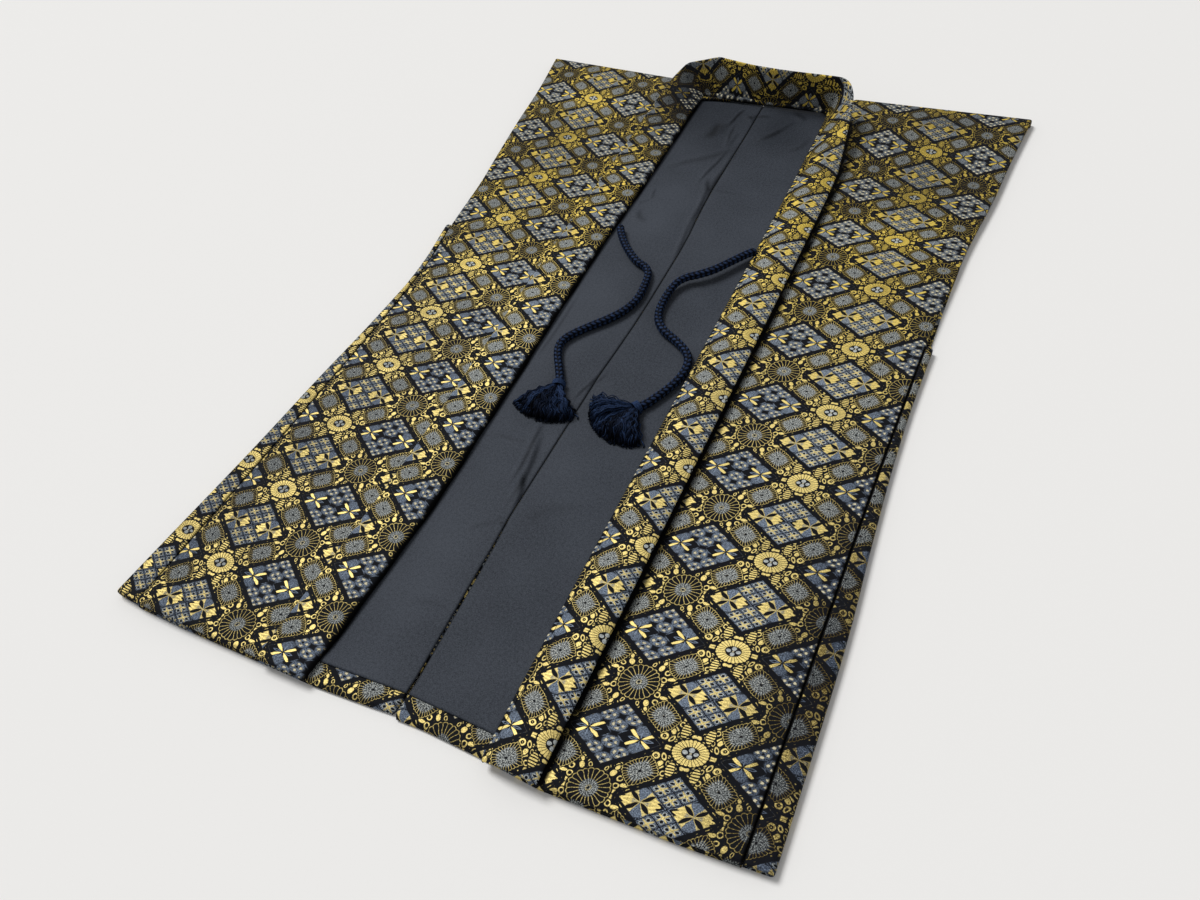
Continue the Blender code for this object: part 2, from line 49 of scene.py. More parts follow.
# ---- layers of cloth, one above the other ----
GAP = 0.3
BACK_THICKNESS = 3.0
LINING_THICKNESS = 1.5
FRONT_THICKNESS = 3.0
COLLAR_THICKNESS = 3.2
BACK_MIDDLE = BACK_THICKNESS / 2
LINING_MIDDLE = BACK_THICKNESS + GAP + LINING_THICKNESS / 2
LINING_TOP = LINING_MIDDLE + LINING_THICKNESS / 2
FRONT_MIDDLE = LINING_TOP + GAP + FRONT_THICKNESS / 2
COLLAR_MIDDLE = FRONT_MIDDLE + FRONT_THICKNESS + GAP
LAYER_RADIUS = (FRONT_MIDDLE - BACK_MIDDLE) / 2
# How far each cloth's edge rounds off, and how far apart the lines of its mesh lie. Next to an
# end that is folded over, over END_ROUND, they lie closer.
FRONT_EDGE, FRONT_STEP = 2.2, 3.2
GUSSET_EDGE, GUSSET_STEP = 1.9, 4.0
BACK_EDGE, BACK_STEP = 3.4, 5.0
LINING_EDGE, LINING_STEP, LINING_FINE_STEP = 1.6, 3.0, 1.4
COLLAR_EDGE, COLLAR_STEP = 2.2, 3.0
END_ROUND = 2.4

# ---- lengths along the garment ----
HEM = -431.5
FRONT_HEM = HEM + 0.8
SHOULDER = 427.0
NECK_BASE = 387.0
SHOULDER_TURN_UNDER = 8.0
ARMHOLE_END = {"left": 69.0, "right": 42.0}
TURN_UP = 17.5
# How far the back's hem lies off its line beside the centre seam.
HEM_FALL = {"left": 0.5, "right": -1.6}
# From the first height down to the second, the gold is painted paler, in place of the brighter
# sheen it takes lower down, and the pale thread bluer.
PALE_TOP, PALE_FULL = 160.0, -80.0

# ---- lines across the garment ----
BACK_SEAM = 8.7
LINING_SEAM = 6.0
LINING_MARGIN = 5.0
# The lining's finely meshed width beside its seam, and where the fronts begin to cover it.
LINING_SHOWN = 96.0
LINING_COVERED = 74.0
FRONT_TUCK = 3.7
# How far the painted shade of the seam between front and gusset reaches to each side of it.
SEAM_SHADE = {"left": 0.5, "right": 1.6}
SEAM_SOFTNESS = 0.6
SIGN = {"left": -1, "right": 1}
FRONT_SEED = {"left": 1.3, "right": 4.1}

# ---- cords ----
CORD_DIAMETER = 8.0
CORD_REST = LINING_TOP + GAP + CORD_DIAMETER / 2
THREAD_LOWEST = LINING_TOP + 0.9

# ---- the brocade's repeat, and the slant of its bands ----
REPEAT_X = 102.0
REPEAT_Y = 80.5
BAND_COS, BAND_SIN = 0.785, 0.6195

# ---- stage ----
# The direction that the light comes from.
KEY_FROM = (-0.55, 0.22, 0.8)
KEY_STRENGTH = 2.35
KEY_SOFTNESS = 24.0
WORLD_STRENGTH = 0.42
CAMERA_AT = (308.8, -588.86, 591.19)
CAMERA_TURN = (40.2214, 5.9525, 24.9399)
CAMERA_LENS = 27.7055
SENSOR_WIDTH = 36.0
FLOOR_HALF = 6.0
FLOOR_BELOW = 0.0002

# Sides of the body from hem to shoulder: the laid outline and the line where the front panel ends.
SIDES = [
    # y, left edge, left seam, right seam, right edge
    (-431.5, -257, -233, 260.5, 280),
    (-275, -247.5, -230, 261, 278.5),
    (-175, -243.5, -229.5, 261.2, 273.5),
    (-90, -238.5, -229, 262, 270),
    (0, -237, -232, 263.5, 269.3),
    (69, -244.5, -242, 265.5, 269),
    (145, -250, -250, 269.5, 270.5),
    (195, -258, -258, 272.5, 272.8),
    (273, -270, -270, 281, 281),
    (350, -280, -280, 286.3, 286.3),
    (427, -294.3, -294.3, 293.5, 293.5),
]

EDGE_COLUMN = {"left": 1, "right": 4}
SEAM_COLUMN = {"left": 2, "right": 3}

# How far the laid hem and shoulder fold stand off their straight lines, across the garment.
HEM_LINE = [
    # x, rise
    (-257, 3.8), (-228, 1.2), (-190, 0), (-60, -0.3), (8, 3.3), (78, 0.5), (125, -3), (170, -1.2),
    (220, 0.4), (281, 4.5),
]
HEM_LINE_END = -330.0
SHOULDER_LINE = [
    # x, rise
    (-294.5, 0), (-92, -11.7), (-77, 0), (84, 0), (94, -4.4), (294.5, 1.6),
]
SHOULDER_LINE_START = 300.0
SHOULDER_LINE_FULL = 408.0

# The x of the neckline's lower corner and of the point where it meets the shoulder line.
NECK_CORNER = {"left": -75.5, "right": 84.0}
NECK_POINT = {"left": -98.0, "right": 103.0}

# The collar band, from the left hem round the neck to the right hem: "fold" is the visible inner
# edge, "free" the loose outer edge, "free top" the height of that edge, "crown" how far the band
# arches between them, and "row" and "column" which part of the brocade's repeat lies there.
COLLAR = [
    # fold x, fold y, free x, free y, free top, crown, row, column
    (-65, -432.3, -110, -432.3, 11.6, 0.3, -0.65, -0.1),
    (-60, -330, -108, -330, 11.6, 0.3, 0.67, -0.1),
    (-59, -235, -107, -235, 11.6, 0.3, 1.87, -0.1),
    (-63.5, -100, -111.5, -100, 11.6, 0.3, 3.58, -0.1),
    (-68, 44, -116.5, 44, 11.6, 0.3, 5.4, -0.1),
    (-69, 160, -119.5, 160, 11.6, 0.3, 6.86, -0.1),
    (-69.5, 240, -120.5, 240, 11.9, 0.3, 7.87, -0.1),
    (-71, 300, -121, 302, 14, 0.8, 8.64, -0.09),
    (-72, 345, -120, 349, 17.5, 1, 9.22, -0.08),
    (-72, 366, -118.5, 373, 19.5, 1, 9.48, -0.07),
    (-72, 376, -116.5, 390, 22.5, 1, 9.64, -0.07),
    (-71.5, 381, -109.5, 398.5, 29.5, 1, 9.74, -0.06),
    (-70.3, 382.8, -101, 401.5, 38, 0.8, 9.83, -0.06),
    (-69.3, 383.3, -96.5, 401, 40.5, 0.8, 9.87, -0.06),
    (-65, 384, -77, 402.5, 45.8, 0.6, 10.02, -0.05),
    (-60, 384.2, -59, 404, 50.3, 0.4, 10.18, -0.04),
    (-55, 384, -52.5, 402.8, 50.6, 0.4, 10.25, -0.04),
    (-38, 383.5, -34, 399, 50.6, 0.4, 10.45, -0.03),
    (-14, 382.7, -11, 396, 50, 0.4, 10.73, 0),
    (24, 383.6, 27, 393.5, 50, 0.4, 11.17, 0.03),
    (60, 385, 72, 392, 50.5, 0.4, 11.6, 0.04),
    (71.5, 385, 92, 391.5, 50, 0.5, 11.73, 0.05),
    (76, 383, 101, 387, 48, 0.7, 11.78, 0.05),
    (78.5, 378, 107.5, 376.5, 45, 1, 11.83, 0.06),
    (79.6, 368, 112, 363, 41.5, 1.4, 11.9, 0.06),
    (80.2, 345, 116, 341.5, 36.5, 2, 12.15, 0.06),
    (80.8, 312, 120.3, 310, 30, 2.8, 12.56, 0.06),
    (81.5, 275, 125, 274, 22.5, 3.6, 13.02, 0.06),
    (82, 235, 127.3, 235, 18, 4, 13.52, 0.06),
    (82, 100, 128.3, 100, 17, 4.2, 15.2, 0.06),
    (82, -100, 128.3, -100, 17, 4.2, 17.69, 0.06),
    (82, -300, 128, -300, 16.5, 4, 20.18, 0.06),
    (82.3, -400, 127.6, -401, 15.5, 3.4, 21.43, 0.06),
    (82.6, -434.4, 127.4, -432, 14, 2.4, 21.84, 0.06),
]
FOLD, FREE = 0, 2
# Rows of the right half of the collar lie beyond this x.
RIGHT_HALF = 50.0

# How far the painted shade reaches from the collar's fold over its rolled edge, by row of the
# repeat.
COLLAR_SHADE = [
    # row, reach
    (0, 2.4), (5, 2.2), (6.6, 1.4), (11.7, 1.4), (12, 0),
]

# Where the brocade's medallion wheels lie on each front panel: the row of the repeat, the height
# and the x of its wheel, and how far the weft climbs across the cloth.
WEAVE = {
    # row, y, wheel x, climb
    "left": [
        (0, -414.6, -141, 0), (3, -176, -135.5, 0.02), (5, -22.9, -134, 0.03),
        (8, 210.8, -139.5, -0.06), (9, 296.3, -145, -0.06), (10, 390, -155, 0),
    ],
    "right": [
        (0, -422.9, 156.5, 0.13), (3, -186.3, 159.2, 0.1), (5, -29.2, 158.8, 0.11),
        (7, 134.6, 155.5, 0.12), (8, 211.3, 156.3, 0), (9, 288.3, 155.8, -0.02),
        (10, 385.8, 152, -0.03),
    ],
}
# The wheels of the back, whose hem shows turned up, and of the gussets: x, y.
BACK_WHEEL = {"left": (-40.7, -440.0), "right": (50.0, -434.0)}
GUSSET_WHEEL = {"left": (-291.0, -400.0), "right": (238.5, -356.0)}

# The bolder scrolls of the brocade's bands, by how far along and across the band they lie.
SCROLLS = [
    # along, across, degrees, half length, half width, hole
    (16.9, 4.4, 30, 2.9, 2.1, 0), (19.8, -0.8, 0, 2.3, 2.2, 0.38), (15.8, -4.8, 0, 2.5, 2.4, 0.42),
    (20.4, -6.6, -32, 3.2, 1.6, 0), (20.6, 7, 20, 2.2, 1.5, 0), (13.8, 9, 30, 2.3, 1.5, 0.3),
    (44.9, 6.6, 0, 3, 2.8, 0.36), (44.9, 6.6, 0, 0.7, 0.6, 0), (49.4, 4, 80, 3.2, 1.7, 0.3),
    (45.3, 0.2, 18, 2.8, 1.9, 0), (44.6, -7, 0, 2.3, 2.2, 0.4), (49.8, -1.2, 60, 2.4, 1.4, 0.34),
]

# Painted sheen and shade over the laid garment, in place of the light on the cloth's slow waves:
# soft spots painted brighter than the rest, and others painted darker.
PAINTED_SHEEN_SPOTS = [
    # x, y, half width, half height, change
    (200, 285, 95, 70, -0.22), (200, 410, 110, 40, -0.25), (185, -70, 70, 210, 0.3),
    (195, -330, 70, 110, 0.2), (190, 178, 75, 28, 0.24), (98, 100, 18, 170, 0.3),
    (98, -330, 18, 160, 0.16), (-90, -50, 42, 150, 0.4), (-100, 180, 40, 90, 0.16),
    (-100, -320, 45, 90, 0.12), (-225, -300, 60, 150, -0.22), (-205, 240, 50, 60, -0.14),
    (-190, 340, 60, 26, 0.28), (-185, 135, 80, 20, 0.14), (-92, 365, 34, 75, -0.66),
    (-150, 8, 60, 42, 0.24), (-215, 338, 34, 24, 0.15), (0, 410, 90, 16, 0.32),
    (264, -300, 30, 190, -0.58), (-35, 150, 26, 60, 0.32), (-30, 340, 28, 55, -0.42),
    (-35, -20, 26, 70, 0.22), (-35, -320, 26, 110, 0.2), (35, 340, 30, 60, -0.44),
    (35, 110, 30, 60, 0.16), (20, -170, 60, 60, 0.14),
]

# Routes of the two cords along their centre lines, from the collar to the tassel. "rise" is the
# height of the centre above its height when the cord lies on the lining.
ROUTES = {
    # x, y, rise
    "left": [
        (-62.9, 117, 1.5), (-56.7, 105.9, 0.8), (-47.1, 92.7, 0.3), (-34.4, 79.3, 0),
        (-22.5, 69.8, 0), (-11.4, 64.3, 0), (-5.2, 54.8, 0), (-2.4, 40.6, 0), (-0.9, 26.2, 0),
        (-2, 13.1, 0), (-6.9, -2, 0), (-16, -16.8, 0), (-27.7, -30.9, 0), (-38, -44.5, 0),
        (-43.2, -54.6, 0), (-44, -63.9, 0), (-39.9, -75.2, 0), (-33.2, -86.7, 0),
        (-26.9, -97.2, 0), (-23.4, -103.9, 0), (-21.7, -110, 0),
    ],
    "right": [
        (84.2, 116.6, 3), (77.4, 109.2, 3.6), (66.6, 92.6, 4.2), (54.8, 75.6, 4.4),
        (43.4, 64.9, 4.2), (34.4, 58.2, 3.8), (27.8, 49.6, 2.8), (24.8, 37.4, 1.4),
        (24.3, 21.2, 0.4), (26.2, 6.9, 0), (31.7, -5.9, 0), (41.2, -15.4, 0), (54.8, -23.2, 0),
        (68.2, -32.8, 0), (75.6, -43.8, 0), (77.4, -57.4, 0), (75, -71.6, 0), (70, -86, 0),
        (65, -96.8, 0), (61.4, -103.8, 0), (54.8, -112.4, 0),
    ],
}

# The tassels: how many clumps of how many threads, the direction of their middle and how far they
# spread to each side of it, their length and height. The raised clumps lie on the others.
TASSELS = {
    "left": {"seed": 3, "clumps": 30, "threads": 16, "aim": -87, "spread": 41, "length": 41,
             "height": 12,
             # degrees, level, length, lift
             "raised": [(-131, 0.3, 42, 0), (-126, 0.2, 42, 0), (-46, 0.3, 36, 0)]},
    "right": {"seed": 8, "clumps": 36, "threads": 18, "aim": -113, "spread": 48, "length": 40.5,
              "height": 15,
              "raised": [(-176, 0.3, 40, 3), (-170, 0.3, 41, 2), (-164, 0.45, 41, 1)]},
}

# The seam of the lining wanders to and fro under the hand that smoothed it.
LINING_SEAM_LINE = [
    # y, x
    (-411, 9.2), (-380, 8.2), (-330, 6.6), (-280, 5.2), (-250, 3.9), (-190, 4.5), (-130, 4.9),
    (-79, 5.6), (-50, 7.2), (-10, 8.8), (30, 9.2), (100, 9.1), (132, 7.9), (155, 5.9), (180, 4.4),
    (210, 3.2), (330, 2.8), (387, 1.8),
]

# The painted shade in the hollow beside that seam, by height.
LINING_VALLEY_SHADE = [
    # y, dark
    (95, 0), (130, 0.4), (170, 0.66), (205, 0.86), (240, 0.8), (275, 0.42), (305, 0),
]

# Folds in the lining: middle, direction, half length, half width, height, and the darkness on the
# side away from the light.
LINING_FOLDS = [
    # x, y, degrees, length, width, height, dark
    (-21.3, 353.4, 78, 17, 1.7, 1.1, 0.7), (4.3, 361.7, 16.5, 12, 2.2, 1.1, 0.6),
    (-3, 352, -54, 8, 1.8, 0.9, 0.5), (-41, 323, 62, 15, 7, 0.5, 0.6),
    (-28, 329, 70, 14, 4, 1, 0.1), (-15, 314, 96, 20, 1.7, 0.8, 0.42),
    (-9, 307, 84, 14, 2.2, 0.7, 0.3), (-31, 266.5, 45, 36, 4.5, 1.4, 0.26),
    (-12.6, 251.3, 83, 27, 1.8, 1, 0.5), (-5.4, 214, -60, 11, 2.6, 1, 0.5),
    (0, 250, 88, 40, 2.2, 0.5, 0.35), (-1.6, 180, -86, 32, 2.3, 1.4, 0.5),
    (3.4, 120, -87, 26, 2, 0.9, 0.4), (32.8, 336, 63.4, 24, 2.6, 1.3, 0.2),
    (25.8, 330, 66, 14, 4.5, 0.3, 0.34), (47, 372, -52, 10, 4, 0.8, 0.55),
    (64.7, 316.6, 60, 14, 4, 0.4, 0.28), (-56, 186, -75, 9, 1.3, 0.6, 0.4),
    (-61, 171, 40, 7, 1.3, 0.5, 0.3), (-55, 143, -50, 10, 4, 0.8, 0.35),
    (21.7, 211.5, 0, 17, 1.2, 0.5, 0.18), (42, 191.5, 0, 13, 1.2, 0.4, 0.15),
    (-60.8, -38, 90, 42, 1.5, 0.5, 0.25), (0.5, -97, 78, 19, 1.5, 1.1, 0.5),
    (6, -92, 76, 13, 1.6, 0.7, 0.3), (-40, -176, 2, 20, 2, 0.4, 0.2),
    (-15.4, -183, -87, 30, 2.2, 1.4, 0.5), (-8, -200, -83, 32, 2.8, 1.7, 0.5),
    (-1.5, -226, -74, 16, 2.2, 1.3, 0.6), (0.2, -256.5, -20, 4, 1, 0.8, 0.5),
    (-13, -263, 45, 12, 2.5, 0.5, 0.18), (-14, -341, 10, 14, 2.5, 0.4, 0.15),
    (30, -230, 40, 22, 7, 0.4, 0.12), (34, 60, -30, 20, 5, 0.4, 0.12),
]


# ---- lines and tables ----

def dense(rows, steps=8):
    """A table's rows and those between them, on a smooth curve through every column."""
    table = np.array(rows, float)
    result = []
    last = len(table) - 1
    for i in range(last):
        a, b = table[max(i - 1, 0)], table[i]
        c, d = table[i + 1], table[min(i + 2, last)]
        for t in np.arange(steps) / steps:
            result.append(0.5 * (2 * b + (c - a) * t + (2 * a - 5 * b + 4 * c - d) * t * t
                                 + (3 * b - a - 3 * c + d) * t ** 3))
    result.append(table[last])
    return np.array(result)


SIDE_CURVE = dense(SIDES)
COLLAR_CURVE = dense(COLLAR)


def side_x(y, column):
    return np.interp(y, SIDE_CURVE[:, 0], SIDE_CURVE[:, column])


def collar_x(y, side, edge):
    """The x of the collar's edge, FOLD or FREE, at height y."""
    fold = COLLAR_CURVE[:, FOLD]
    half = COLLAR_CURVE[fold < 0 if side == "left" else fold > RIGHT_HALF]
    order = np.argsort(half[:, 1])
    return np.interp(y, half[order, 1], half[order, edge])


def table_value(key, rows):
    """The second column of a table where its first is the key."""
    return np.interp(key, *zip(*rows))


def unit(value):
    return np.clip(value, 0, 1)


def vectors(x, y, z=0.0):
    return np.stack(np.broadcast_arrays(x, y, z), axis=-1)


def travel(points, axis=0):
    """How far each point lies along its line, from the line's first point."""
    steps = np.linalg.norm(np.diff(points, axis=axis), axis=-1)
    return np.insert(np.cumsum(steps, axis=axis), 0, 0, axis=axis)


def at_travel(rows, travelled, wanted):
    """Every column of a curve's rows, at the wanted distances along it."""
    return np.stack([np.interp(wanted, travelled, column) for column in rows.T], axis=1)


def stations(length, step, edge):
    """Distances from one edge of a piece to the other, closer together where the edge is round."""
    bend = [edge * (1 - math.cos(math.radians(angle))) for angle in (0, 25, 45, 65, 90)]
    count = max(int((length - 2 * edge) / step), 2)
    inside = [edge + (length - 2 * edge) * i / count for i in range(1, count)]
    return np.array(bend + inside + [length - b for b in reversed(bend)])


def roundness(distance, edge):
    """The share of its thickness that cloth has at this distance from its edge."""
    return np.sqrt(1 - (1 - unit(distance / edge)) ** 2)


def in_order(side, outer, inner):
    """The two edges of a piece, the one with the lower x first."""
    return (outer, inner) if side == "left" else (inner, outer)


def grid(low, high, y, across):
    """The x and y of a grid between two edges, with columns at these shares of the way across."""
    x = low[:, None] + (high - low)[:, None] * across
    return x, np.broadcast_to(y[:, None], x.shape)


# ---- the lie of the cloth ----

def settle(points, shoulders=True):
    """Points of the cloth, moved along the garment by the lie of the hem and the shoulders."""
    x, y = points[..., 0], points[..., 1]
    rise = table_value(x, HEM_LINE) * unit((HEM_LINE_END - y) / (HEM_LINE_END - HEM))
    if shoulders:
        at_shoulder = (y - SHOULDER_LINE_START) / (SHOULDER_LINE_FULL - SHOULDER_LINE_START)
        rise = rise + table_value(x, SHOULDER_LINE) * unit(at_shoulder)
    moved = points.copy()
    moved[..., 1] += rise
    return moved


def neckline(y, side, inner):
    """The inner edge of a layer of the back, which leaves the centre seam at the neck's base."""
    share = unit((y - NECK_BASE - 1.5) / (SHOULDER - NECK_BASE))
    cut = NECK_CORNER[side] + (NECK_POINT[side] - NECK_CORNER[side]) * share
    return np.where(y > NECK_BASE + 1, cut, inner)


def paint_sheen(points):
    """The painted sheen and shade at points of the laid garment, about 0.5: above it painted
    brighter, below it painted darker.
    """
    painted_sheen_and_shade = np.full(points.shape[:-1], 0.5)
    for x, y, wide, high, change in PAINTED_SHEEN_SPOTS:
        painted_sheen_and_shade += change * np.exp(-((points[..., 0] - x) / wide) ** 2
                                 - ((points[..., 1] - y) / high) ** 2)
    return painted_sheen_and_shade


def painted_seam_shade(side, x, line):
    """The painted shade in the seam between front and gusset, at each x of rows that cross its
    line.
    """
    return unit((SEAM_SHADE[side] - np.abs(x - line[:, None])) / SEAM_SOFTNESS)


def folds(x, y):
    """The lift of the lining in its folds, and the shade painted beside them on the side away from
    the light.
    """
    lift, shade = np.zeros(x.shape), np.zeros(x.shape)
    for fold_x, fold_y, degrees, length, width, height, dark in LINING_FOLDS:
        c, s = math.cos(math.radians(degrees)), math.sin(math.radians(degrees))
        dx, dy = x - fold_x, y - fold_y
        along = dx * c + dy * s
        across = dy * c - dx * s + 0.5 * width * np.sin(along / length * 2.2 + fold_x)
        end = np.exp(-(along / length) ** 4)
        lift += height * end * np.exp(-(across / width) ** 2)
        away = 1 if KEY_FROM[1] * c - KEY_FROM[0] * s < 0 else -1
        shade += dark * end * np.exp(-((across - away * width) / (0.8 * width)) ** 2)
    return lift, np.clip(shade, 0, 0.9)


def ripple(x, y, seed, size=1.0):
    """Slow waves from 0 to about 1, as in padded cloth laid out by hand."""
    total = (np.sin(x / 31 + y / 74 + seed) + np.sin(x / 57 - y / 43 + 2.1 * seed)
             + 0.7 * np.sin(y / 23 + x / 90 + 3.7 * seed) + 0.4 * np.sin(x / 17 + y / 29 + seed))
    return size * (0.5 + total / 6.2)


# ---- meshes ----

def link(name, data):
    """A new object in the scene for a mesh, light or camera."""
    piece = bpy.data.objects.new(name, data)
    bpy.context.scene.collection.objects.link(piece)
    return piece


def mesh_object(name, points, faces, cloth, light=None):
    """A mesh in metres from points in millimetres, with its place on the flat cloth and its painted
    light: the painted sheen and shade of the laid cloth, the share of painted shade on it, which
    for tassel threads also holds their own random tone, and its paleness."""
    data = bpy.data.meshes.new(name)
    data.from_pydata(((points - ORIGIN) * MM).tolist(), [], faces)
    if light is None:
        light = np.zeros(cloth.shape)
    for kind, values in (("cloth", cloth), ("light", light)):
        attribute = data.attributes.new(kind, "FLOAT_VECTOR", "POINT")
        attribute.data.foreach_set("vector", values.astype(np.float32).ravel())
    data.shade_smooth()
    return link(name, data)


def quads(index):
    """Faces between the rows and columns of a grid of point numbers."""
    corners = index[:-1, :-1], index[:-1, 1:], index[1:, 1:], index[1:, :-1]
    return np.stack(corners, axis=-1).reshape(-1, 4).tolist()


def slab(name, middle, cloth, thickness, edge, painted_shade_and_tone=0.0):
    """A closed sheet of cloth about a grid of middle points, with round edges all round."""
    rows, columns = middle.shape[:2]
    normal = np.cross(np.gradient(middle, axis=1), np.gradient(middle, axis=0))
    normal /= np.linalg.norm(normal, axis=2, keepdims=True)
    from_low, from_start = travel(middle, 1), travel(middle, 0)
    to_side = np.minimum(from_low, from_low[:, -1:] - from_low)
    to_end = np.minimum(from_start, from_start[-1:] - from_start)
    half = 0.5 * thickness * roundness(to_side, edge) * roundness(to_end, edge)
    half[[0, -1], :] = 0
    half[:, [0, -1]] = 0
    out = normal * half[..., None]
    upper = np.arange(rows * columns).reshape(rows, columns)
    lower = upper.copy()
    lower[1:-1, 1:-1] = upper.size + np.arange((rows - 2) * (columns - 2)).reshape(rows - 2, -1)
    # the numbers of painted light: painted sheen and shade of the laid garment, the painted shade
    # given, and the painted paleness
    paleness = unit((PALE_TOP - middle[..., 1]) / (PALE_TOP - PALE_FULL))
    light = vectors(paint_sheen(middle), painted_shade_and_tone, paleness)
    points, cloth, light = [
        np.concatenate([above.reshape(-1, 3), below[1:-1, 1:-1].reshape(-1, 3)])
        for above, below in ((middle + out, middle - out), (cloth, cloth), (light, light))]
    return mesh_object(name, points, quads(upper) + quads(lower[:, ::-1]), cloth, light)


# ---- cloth pieces ----

def front_cloth(x, y, side):
    """Place on the flat brocade of points of a front panel, in the repeat's own frame."""
    row, height, wheel, climb = np.array(WEAVE[side]).T
    at = np.interp(y, height, row) + (y - np.clip(y, height[0], height[-1])) / REPEAT_Y
    from_wheel = x - np.interp(y, height, wheel)
    return vectors(from_wheel, at * REPEAT_Y - np.interp(y, height, climb) * from_wheel)


def front(side):
    """A front panel, its hem folded and its top brought down over the shoulder line."""
    sign = SIGN[side]
    turn_centre = SHOULDER - LAYER_RADIUS - FRONT_THICKNESS / 2
    flat = FRONT_HEM + stations(turn_centre - FRONT_HEM + 4, FRONT_STEP, END_ROUND)
    flat = flat[flat < turn_centre - 1]
    angles = np.linspace(0, math.pi, 9)
    under = np.array([1.5, 2.6, 3.3, 3.8, 4.0])
    y = np.concatenate([flat, turn_centre + LAYER_RADIUS * np.sin(angles), turn_centre - under])
    z = np.concatenate([np.full(len(flat), FRONT_MIDDLE),
                        BACK_MIDDLE + LAYER_RADIUS * (1 + np.cos(angles)),
                        np.full(len(under), BACK_MIDDLE)])
    reach = np.concatenate([flat, turn_centre + LAYER_RADIUS * angles,
                            turn_centre + LAYER_RADIUS * math.pi + under])
    at = np.minimum(reach, SHOULDER)
    outer = side_x(at, SEAM_COLUMN[side]) - sign * GAP * (at < ARMHOLE_END[side])
    inner = collar_x(np.minimum(at, NECK_BASE), side, FOLD) + sign * FRONT_TUCK
    inner = inner + (NECK_POINT[side] - inner) * unit((at - NECK_BASE) / (SHOULDER - NECK_BASE))
    low, high = in_order(side, outer, inner)
    width = float(np.mean(high - low))
    x, yy = grid(low, high, y, stations(width, FRONT_STEP, 2.0) / width)
    # padding: calm at the shoulder's turn and at the edges, puffed over the hem
    calm = unit((SHOULDER - 14 - reach) / 40)[:, None]
    rest = np.minimum(1, np.minimum(np.abs(x - low[:, None]), np.abs(high[:, None] - x)) / 14)
    puff = 1.5 * np.exp(-((reach - HEM - 8) / 12) ** 2)[:, None]
    zz = z[:, None] + calm * rest * ripple(x, yy, FRONT_SEED[side], 1.5) + puff / 2
    thickness = FRONT_THICKNESS + puff
    # painted shade along the seam with the gusset, below the armhole
    painted_shade_and_tone = painted_seam_shade(side, x, outer) * (yy < ARMHOLE_END[side])
    if side == "right":
        # the channel beside the collar's raised loose edge, and painted shade under that edge and
        # beside it
        beyond = x - collar_x(yy, side, FREE)
        channel = np.exp(-(beyond / 6) ** 2)
        thickness = thickness - 1.5 * channel
        zz = zz - 0.75 * channel
        wave = 0.7 * np.sin(yy / 19) + 0.5 * np.sin(yy / 7.3 + 1)
        painted_shade_and_tone = np.maximum(painted_shade_and_tone, unit((1.7 + wave - beyond) / 1.4))
    settled = settle(vectors(x, yy, zz))
    cloth = front_cloth(x, reach[:, None] + settled[..., 1] - yy, side)
    return slab("front_panel_" + side, settled, cloth, thickness, FRONT_EDGE, painted_shade_and_tone)


def gusset(side):
    """The side gusset, folded lengthwise: one leaf beside the front panel, one under it."""
    sign = SIGN[side]
    y = FRONT_HEM + stations(ARMHOLE_END[side] - 0.5 - FRONT_HEM, GUSSET_STEP, END_ROUND)
    root = side_x(y, SEAM_COLUMN[side])
    half = FRONT_THICKNESS / 2
    reach = np.abs(side_x(y, EDGE_COLUMN[side]) - root) - half - LAYER_RADIUS
    run = np.maximum(reach, half + 1)[:, None]
    turn = np.linspace(0, math.pi, 9)[1:]
    near = np.array([0, 0.12, 0.4, 0.9]) + 0 * run
    leaf_above = np.concatenate([near, np.linspace(1.6, run[:, 0], 8, axis=1)], axis=1)
    leaf_below = run - run * np.array([0.3, 0.6, 0.8, 0.9, 0.96, 1])
    from_root = np.concatenate([leaf_above, run + LAYER_RADIUS * np.sin(turn), leaf_below], axis=1)
    z = np.concatenate([np.full(leaf_above.shape[1], FRONT_MIDDLE),
                        BACK_MIDDLE + LAYER_RADIUS * (1 + np.cos(turn)),
                        np.full(leaf_below.shape[1], BACK_MIDDLE)])
    middle = vectors(root[:, None] + sign * from_root, y[:, None], z)
    wheel_x, wheel_y = GUSSET_WHEEL[side]
    cloth = vectors(sign * (root[:, None] - wheel_x) + travel(middle, 1), y[:, None] - wheel_y)
    shown = unit((middle[..., 2] - BACK_MIDDLE) / (2 * LAYER_RADIUS))
    middle[..., 2] += 0.4 * ripple(middle[..., 0], middle[..., 1], 2.2, 1.5) * shown
    # painted shade along the seam with the front
    painted_shade_and_tone = painted_seam_shade(side, middle[..., 0], root)
    middle = settle(middle)
    if side == "left":
        middle, cloth, painted_shade_and_tone = middle[:, ::-1], cloth[:, ::-1], painted_shade_and_tone[:, ::-1]
    return slab("gusset_strip_" + side, middle, cloth, FRONT_THICKNESS, GUSSET_EDGE, painted_shade_and_tone)


